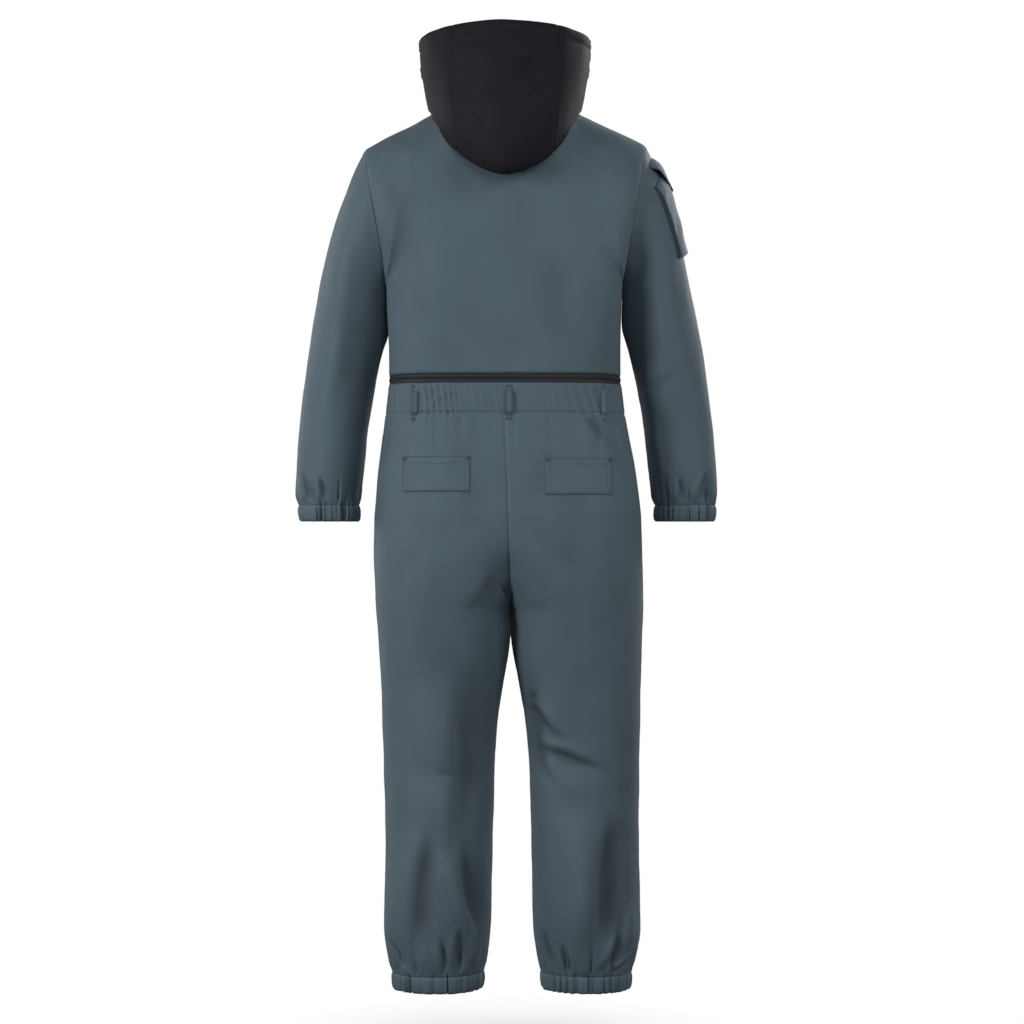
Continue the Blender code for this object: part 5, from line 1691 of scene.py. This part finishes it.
def capsule(length, radius, sides, pointed):
    """A short rod with domed ends, as its points and faces. It lies along its own first axis."""
    bpy.ops.object.select_all(action="DESELECT")
    bpy.ops.mesh.primitive_cylinder_add(vertices=sides, radius=radius, depth=length, end_fill_type="TRIFAN")
    rod = bpy.context.object
    for vertex in rod.data.vertices:
        vertex.select = abs(vertex.co.x) + abs(vertex.co.y) < radius / 2
    bpy.ops.object.mode_set(mode="EDIT")
    bpy.ops.transform.resize(value=(1, 1, pointed))
    bpy.ops.object.mode_set(mode="OBJECT")
    points = np.array([vertex.co for vertex in rod.data.vertices])[:, [2, 0, 1]]
    faces = [tuple(polygon.vertices) for polygon in rod.data.polygons]
    bpy.data.objects.remove(rod)
    return points, faces


STITCH = capsule(STITCH_LENGTH * ROD_SHARE, THREAD_RADIUS, 5, DOME)
TOOTH = capsule(TOOTH_LENGTH * ROD_SHARE, TOOTH_RADIUS, 6, DOME)


def repeated(name, template, origins, axes, finish):
    """One mesh of many copies. The rows of each copy's axes point along it, across it and out."""
    points, faces = template
    moved = np.einsum("kj,njm->nkm", points, axes) + origins[:, None]
    starts = range(0, len(origins) * len(points), len(points))
    every = [tuple(i + start for i in face) for start in starts for face in faces]
    mesh = bpy.data.meshes.new(name)
    mesh.from_pydata(moved.reshape(-1, 3).tolist(), [], every)
    mesh.shade_smooth()
    mesh.materials.append(MATERIALS[finish])
    return add_object(name, mesh)


# %% Lines on the cloth


def unit(vectors):
    """The same directions, one unit long."""
    return vectors / np.maximum(np.linalg.norm(vectors, axis=-1, keepdims=True), 1e-12)


def at_distance(distances, values, off):
    """The values where the distances, which rise or fall, reach off."""
    order = slice(None) if distances[-1] > distances[0] else slice(None, None, -1)
    return np.array([np.interp(off, distances[order], column[order]) for column in values.T])


def beside(panel, edge, off):
    """A line on the panel's cloth at a distance from one edge: its points and their normals."""
    both = np.concatenate([panel.shaped, panel.normals], axis=1)
    rows = range(len(panel.lengths))
    if edge in "lr":
        far = panel.from_left if edge == "l" else panel.from_right
        line = [at_distance(panel.row(i, far), panel.row(i, both), off) for i in rows]
    else:
        far, end = (panel.from_top, 0) if edge == "t" else (panel.from_bottom, len(rows) - 1)
        alike = [i for i in rows if panel.lengths[i] == panel.lengths[end]]
        near = [i for i in alike if abs(i - end) < 24 and panel.row(i, far).min() < off + 0.02]
        values = np.array([panel.row(i, both) for i in near])
        away = np.array([panel.row(i, far) for i in near])
        line = [at_distance(away[:, j], values[:, j], off) for j in range(values.shape[1])]
    line = np.array(line)
    return line[:, :3], unit(line[:, 3:])


def spread(points, outs, pitch, start=0.0, end=0.0, shift=0.0):
    """Even places along a line, with axes along it, across it and out."""
    run = distances(points)
    at = np.arange(start + pitch / 2 + shift, run[-1] - end, pitch)

    def there(values, where):
        return np.stack([np.interp(where, run, values[:, k]) for k in range(3)], -1)

    along = unit(there(points, at + pitch / 2) - there(points, at - pitch / 2))
    across = unit(np.cross(there(outs, at), along))
    return there(points, at), np.stack([along, across, np.cross(along, across)], axis=1)


def together(sets):
    """Several sets of places and their axes as one."""
    places, axes = zip(*sets)
    return np.concatenate(places), np.concatenate(axes)


def seam_places(name, lines):
    """Stitches beside edges of a panel: the edge, how far in, and what is left bare at its ends."""
    panel = SHAPED[name]
    return together(
        spread(*beside(panel, edge, off), STITCH_PITCH, *bare) for edge, off, *bare in lines
    )


def bar_tack(name, from_left, from_top, length, upright):
    """Close stitches side by side, across a short bar."""
    panel = SHAPED[name]
    spot = np.argmin((panel.from_left - from_left) ** 2 + (panel.from_top - from_top) ** 2)
    out = panel.normals[spot]
    down = unit(np.cross(np.cross(out, (0.0, 0.0, -1.0)), out))
    along = down if upright else np.cross(out, down)
    offsets = np.arange(-length / 2, length / 2, 2.1 * THREAD_RADIUS)
    origins = panel.shaped[spot] + offsets[:, None] * along + THREAD_RADIUS * out
    axes = np.stack([np.cross(out, along), along, out])
    return origins, np.broadcast_to(axes, (len(origins), 3, 3))


THREADS = {}


def sew(name, places, finish="thread"):
    """Join places into one set of stitches that rides on the suit."""
    origins, axes = together(places)
    THREADS[name] = repeated(name, STITCH, origins, axes, finish)
    print(f"{name}: {len(origins)} stitches")


# %% Stitches beside the seams
EDGE = 0.0022
BAND_EDGE = 0.0030
ZIP_EDGE = 0.0026
SEAT_BARE = (0, 0.62)
BAND_LINES = [("b", BAND_EDGE), ("t", ZIP_EDGE)]
POCKET_LINES = [(edge, off) for edge in "lr" for off in (EDGE, POCKET_INSET)]
POCKET_LINES += [("b", EDGE), ("t", POCKET_HEM)]
FLAP_LINES = [("l", FLAP_HEM), ("r", FLAP_HEM), ("b", FLAP_HEM, FLAP_HEM, FLAP_HEM), ("t", EDGE)]
SEAMS = {
    "waistband_stitches": [
        (f"waistband_{place}", BAND_LINES) for place in ("back", "front_left", "front_right")
    ],
    "zip_stitches": [
        ("back_upper", [("b", ZIP_EDGE)]),
        ("front_upper_left", [("b", ZIP_EDGE), ("l", ZIP_EDGE)]),
        ("front_upper_right", [("b", ZIP_EDGE), ("r", ZIP_EDGE)]),
    ],
    "seat_stitches": [
        ("trouser_back_left", [("r", EDGE, *SEAT_BARE)]),
        ("trouser_front_left", [("l", ZIP_EDGE, *SEAT_BARE)]),
        ("trouser_front_right", [("r", ZIP_EDGE, *SEAT_BARE)]),
    ],
    "pocket_stitches": [(f"back_pocket_{side}", POCKET_LINES) for side in ("left", "right")],
    "sleeve_pocket_stitches": [("sleeve_pocket_flap", FLAP_LINES)],
    "loop_stitches": [(f"belt_loop_{place}", [("l", EDGE), ("r", EDGE)]) for place in BELT_LOOPS],
}
HOOD_SEAMS = [
    ("hood_centre", [("l", EDGE), ("r", EDGE), ("b", RIM_CHANNEL)]),
    ("hood_side_left", [("l", EDGE), ("b", RIM_CHANNEL)]),
    ("hood_side_right", [("r", EDGE), ("b", RIM_CHANNEL)]),
]
for seam, lines in SEAMS.items():
    sew(seam, [seam_places(*line) for line in lines])
sew("hood_stitches", [seam_places(*line) for line in HOOD_SEAMS], "hood_thread")

# %% Bar tacks at the pockets' corners and the belt loops' ends
TACK = 0.0070
LOOP_TACK = 0.0074
CORNER = 0.0050
LOOP_END = 0.0036

tacks = []
for pocket in ("back_pocket_left", "back_pocket_right"):
    width = SHAPED[pocket].from_left.max()
    for across in (CORNER, width - CORNER):
        tacks += [bar_tack(pocket, across, CORNER, TACK, upright) for upright in (True, False)]
for place in BELT_LOOPS:
    loop = f"belt_loop_{place}"
    for from_top in (LOOP_END, SHAPED[loop].from_top.max() - LOOP_END):
        tacks.append(bar_tack(loop, LOOP_WIDTH / 2, from_top, LOOP_TACK, False))
sew("bar_tacks", tacks)

# %% The zips' coils
COIL_APART = 0.0011
COIL_LIFT = 0.0002
TOOTH_LEAN = 0.18


def coil(name):
    """Two rows of teeth that mesh along the middle of a tape."""
    panel = SHAPED[name]
    points, outs = beside(panel, "l" if name == "front_zip" else "t", ZIP_HALF)
    sets = []
    for side in SIDES:
        here, axes = spread(points, outs, TOOTH_PITCH, shift=side * TOOTH_PITCH / 4)
        along, across, out = axes[:, 0], axes[:, 1], axes[:, 2]
        leaning = unit(across + side * TOOTH_LEAN * along)
        turned = np.stack([leaning, np.cross(out, leaning), out], axis=1)
        sets.append((here + across * side * COIL_APART + out * COIL_LIFT, turned))
    origins, turned = together(sets)
    THREADS[f"{name}_coil"] = repeated(f"{name}_coil", TOOTH, origins, turned, "coil")
    print(f"{name}_coil: {len(origins)} teeth")


coil("waist_zip")
coil("front_zip")

# %% [markdown]
# ## Sliders and pulls
# Each zip has one metal slider with a bridge, and a pull tab that hangs from it. They are modelled
# here in millimetres, X across the zip, Y up it and Z out, from cubes and cylinders that are
# tapered, bevelled, grooved and cut. Then each is set on its zip, where its hinge is.

# %% Small helpers for hard pieces
MM = 0.001
HINGE_HEIGHT = 5.9
SHARP_EDGE = radians(40)


def block(name, size, centre):
    """A cube of this size, in millimetres, as an object of its own."""
    bpy.ops.object.select_all(action="DESELECT")
    bpy.ops.mesh.primitive_cube_add(size=1, location=centre)
    made = bpy.context.object
    made.name, made.scale = name, size
    bpy.ops.object.transform_apply(location=True, rotation=True, scale=True)
    return made


def choose(made, kind, test):
    """Opens a piece for editing, with its points, edges or faces that pass a test selected."""
    select_only(made)
    bpy.ops.object.mode_set(mode="EDIT")
    bpy.ops.mesh.select_mode(type=kind)
    bpy.ops.mesh.select_all(action="DESELECT")
    bpy.ops.object.mode_set(mode="OBJECT")
    for part in {"VERT": made.data.vertices, "EDGE": made.data.edges, "FACE": made.data.polygons}[kind]:
        part.select = test(part)
    bpy.ops.object.mode_set(mode="EDIT")


def back_to_object():
    """Closes the piece again."""
    bpy.ops.mesh.select_all(action="DESELECT")
    bpy.ops.object.mode_set(mode="OBJECT")


def narrow(made, below, share):
    """Draws in the points that lie further down the piece than this."""
    choose(made, "VERT", lambda vertex: vertex.co.y < below)
    bpy.ops.transform.resize(value=(share, 1, 1))
    back_to_object()


def round_edges(made, test, radius, segments):
    """Rounds the edges whose two ends pass a test."""
    choose(made, "EDGE", lambda edge: test(*(made.data.vertices[k].co for k in edge.vertices)))
    bpy.ops.mesh.bevel(offset=radius, segments=segments, affect="EDGES")
    back_to_object()


def upright(low, high):
    """Whether an edge runs straight through a piece's thickness."""
    return abs(low.z - high.z) > 1


def combine(made, other, operation):
    """Joins another piece to this one, or cuts it away, and clears it up."""
    select_only(made)
    made.modifiers.new("Combine", "BOOLEAN").operation = operation
    made.modifiers["Combine"].object = other
    bpy.ops.object.modifier_apply(modifier="Combine")
    bpy.data.objects.remove(other)


def soften(made, width, segments=2):
    """Bevels the sharp edges all over."""
    select_only(made)
    bevel = made.modifiers.new("Soften", "BEVEL")
    bevel.width, bevel.segments = width, segments
    bevel.limit_method, bevel.angle_limit = "ANGLE", SHARP_EDGE
    bpy.ops.object.modifier_apply(modifier="Soften")


# %% The slider: a tapered body with grooved sides, and a bridge over it
BODY_SIZE = (10.0, 13.5, 3.6)
BODY_FOOT = 1.0
BODY_TOP = BODY_FOOT + BODY_SIZE[2]
BODY_TAPER = 0.76
BODY_CORNER = 1.8
SIDE_RIM, SIDE_STEP = 1.1, 0.9
TOP_RIM, TOP_DISH = 0.9, 0.35
BRIDGE_SIZE = (2.2, 9.6, 4.8)
BRIDGE_ROOT = 0.9
BRIDGE_CORNER = 2.0
WINDOW_SIZE = (6.0, 5.2, 3.1)
WINDOW_UP = 1.05
SOFT_EDGE = 0.22


def make_slider(name):
    """A slider in millimetres, its foot at the tape."""
    body = block(name, BODY_SIZE, (0, 0, BODY_FOOT + BODY_SIZE[2] / 2))
    narrow(body, 0, BODY_TAPER)
    round_edges(body, upright, BODY_CORNER, 4)
    choose(body, "FACE", lambda face: abs(face.normal.z) < 0.1 and abs(face.normal.x) > 0.9)
    bpy.ops.mesh.inset(thickness=SIDE_RIM)
    bpy.ops.mesh.extrude_region_shrink_fatten(TRANSFORM_OT_shrink_fatten={"value": SIDE_STEP})
    back_to_object()
    choose(body, "FACE", lambda face: face.normal.z > 0.9 and face.center.z > BODY_TOP - 0.1)
    bpy.ops.mesh.inset(thickness=TOP_RIM)
    bpy.ops.transform.translate(value=(0, 0, -TOP_DISH))
    back_to_object()
    soften(body, SOFT_EDGE)
    width, length, height = BRIDGE_SIZE
    middle = BODY_TOP + height / 2 - BRIDGE_ROOT / 2
    bridge = block("bridge", (width, length, height + BRIDGE_ROOT), (0, 0, middle))
    round_edges(
        bridge,
        lambda low, high: min(low.z, high.z) > BODY_TOP and abs(low.x - high.x) > 1,
        BRIDGE_CORNER,
        5,
    )
    window = block("window", WINDOW_SIZE, (0, 0, BODY_TOP + WINDOW_UP))
    soften(window, 0.8, 3)
    combine(bridge, window, "DIFFERENCE")
    soften(bridge, 0.20)
    combine(body, bridge, "UNION")
    return body


# %% The pull: a tab with an eye, an axle and a ribbed grip
TAB_SIZE = (8.8, 33.7, 1.6)
TAB_TAPER_FROM = -20
TAB_TAPER = 0.86
TAB_CORNER = 2.2
AXLE_RADIUS = 0.7
AXLE_LENGTH = 6.6
EYE_SIZE = (4.8, 8.6, 4.0)
EYE_END = 7.2
RIB_SIZE = (5.6, 0.7, 0.5)
RIB_COUNT, RIB_PITCH, FIRST_RIB = 6, 2.0, -17.0
RIB_HEIGHT = 0.82


def make_pull(name):
    """A pull in millimetres, hung from its axle at the origin."""
    tab = block(name, TAB_SIZE, (0, AXLE_RADIUS - TAB_SIZE[1] / 2, 0))
    narrow(tab, TAB_TAPER_FROM, TAB_TAPER)
    round_edges(tab, upright, TAB_CORNER, 5)
    eye = block("eye", EYE_SIZE, (0, -AXLE_RADIUS - EYE_END + EYE_SIZE[1] / 2, 0))
    combine(tab, eye, "DIFFERENCE")
    for facing in (1, -1):
        for k in range(RIB_COUNT):
            rib = block("rib", RIB_SIZE, (0, FIRST_RIB - RIB_PITCH * k, facing * RIB_HEIGHT))
            combine(tab, rib, "DIFFERENCE")
    soften(tab, SOFT_EDGE)
    bpy.ops.object.select_all(action="DESELECT")
    bpy.ops.mesh.primitive_cylinder_add(
        vertices=16, radius=AXLE_RADIUS, depth=AXLE_LENGTH, rotation=(0, radians(90), 0)
    )
    axle = bpy.context.object
    bpy.ops.object.transform_apply(location=True, rotation=True, scale=True)
    combine(tab, axle, "UNION")
    return tab


# %% Set each on its zip
HINGES = {
    # the hinge's place, and the directions across the zip, up it and out of it
    "front_zip": (
        (0.0015, -0.11194, -0.087138), (1, 0, 0), (0, 0.48502, 0.8745), (0, -0.8745, 0.48502),
    ),
    "waist_zip": (
        (0.021652, -0.121013, -0.46), (0, 0, 1), (-0.99967, -0.02579, 0), (0.02579, -0.99967, 0),
    ),
}


def set_in_place(made, hinge, shift):
    """Puts a piece modelled in millimetres on its zip, with its place in its mesh."""
    spot, across, up, out = (Vector(v) for v in hinge)
    turn = Matrix((across, up, out)).transposed().to_4x4()
    raised = Matrix.Translation((0, 0, shift))
    made.data.transform(Matrix.Translation(spot) @ turn @ Matrix.Scale(MM, 4) @ raised)
    made.data.materials.clear()
    made.data.materials.append(MATERIALS["metal"])
    select_only(made)
    bpy.ops.object.shade_smooth_by_angle(angle=radians(32))


HARDWARE = {}
for zip_name, hinge in HINGES.items():
    slider, pull = make_slider(f"{zip_name}_slider_metal"), make_pull(f"{zip_name}_pull_metal")
    set_in_place(slider, hinge, -HINGE_HEIGHT)
    set_in_place(pull, hinge, 0)
    HARDWARE[f"{zip_name}_slider"], HARDWARE[f"{zip_name}_pull"] = slider, pull
    print(zip_name, len(slider.data.polygons), len(pull.data.polygons), "faces")

# %% [markdown]
# ## Handing over
# Every piece rides on the body that carries it and takes the place of its plain solid. Elastic
# and gathers take in the waistband and the casings, so these were cut longer than they hang.


# %% Ride and replace
for name, piece in PIECES.items():
    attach(piece, SUIT)
    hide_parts(name)

for name, piece in THREADS.items():
    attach(piece, SUIT)

PULL_BODIES = {"front_zip_pull": FRONT_PULL, "waist_zip_pull": WAIST_PULL}
for name, piece in HARDWARE.items():
    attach(piece, PULL_BODIES.get(name, SUIT))
    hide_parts(name)
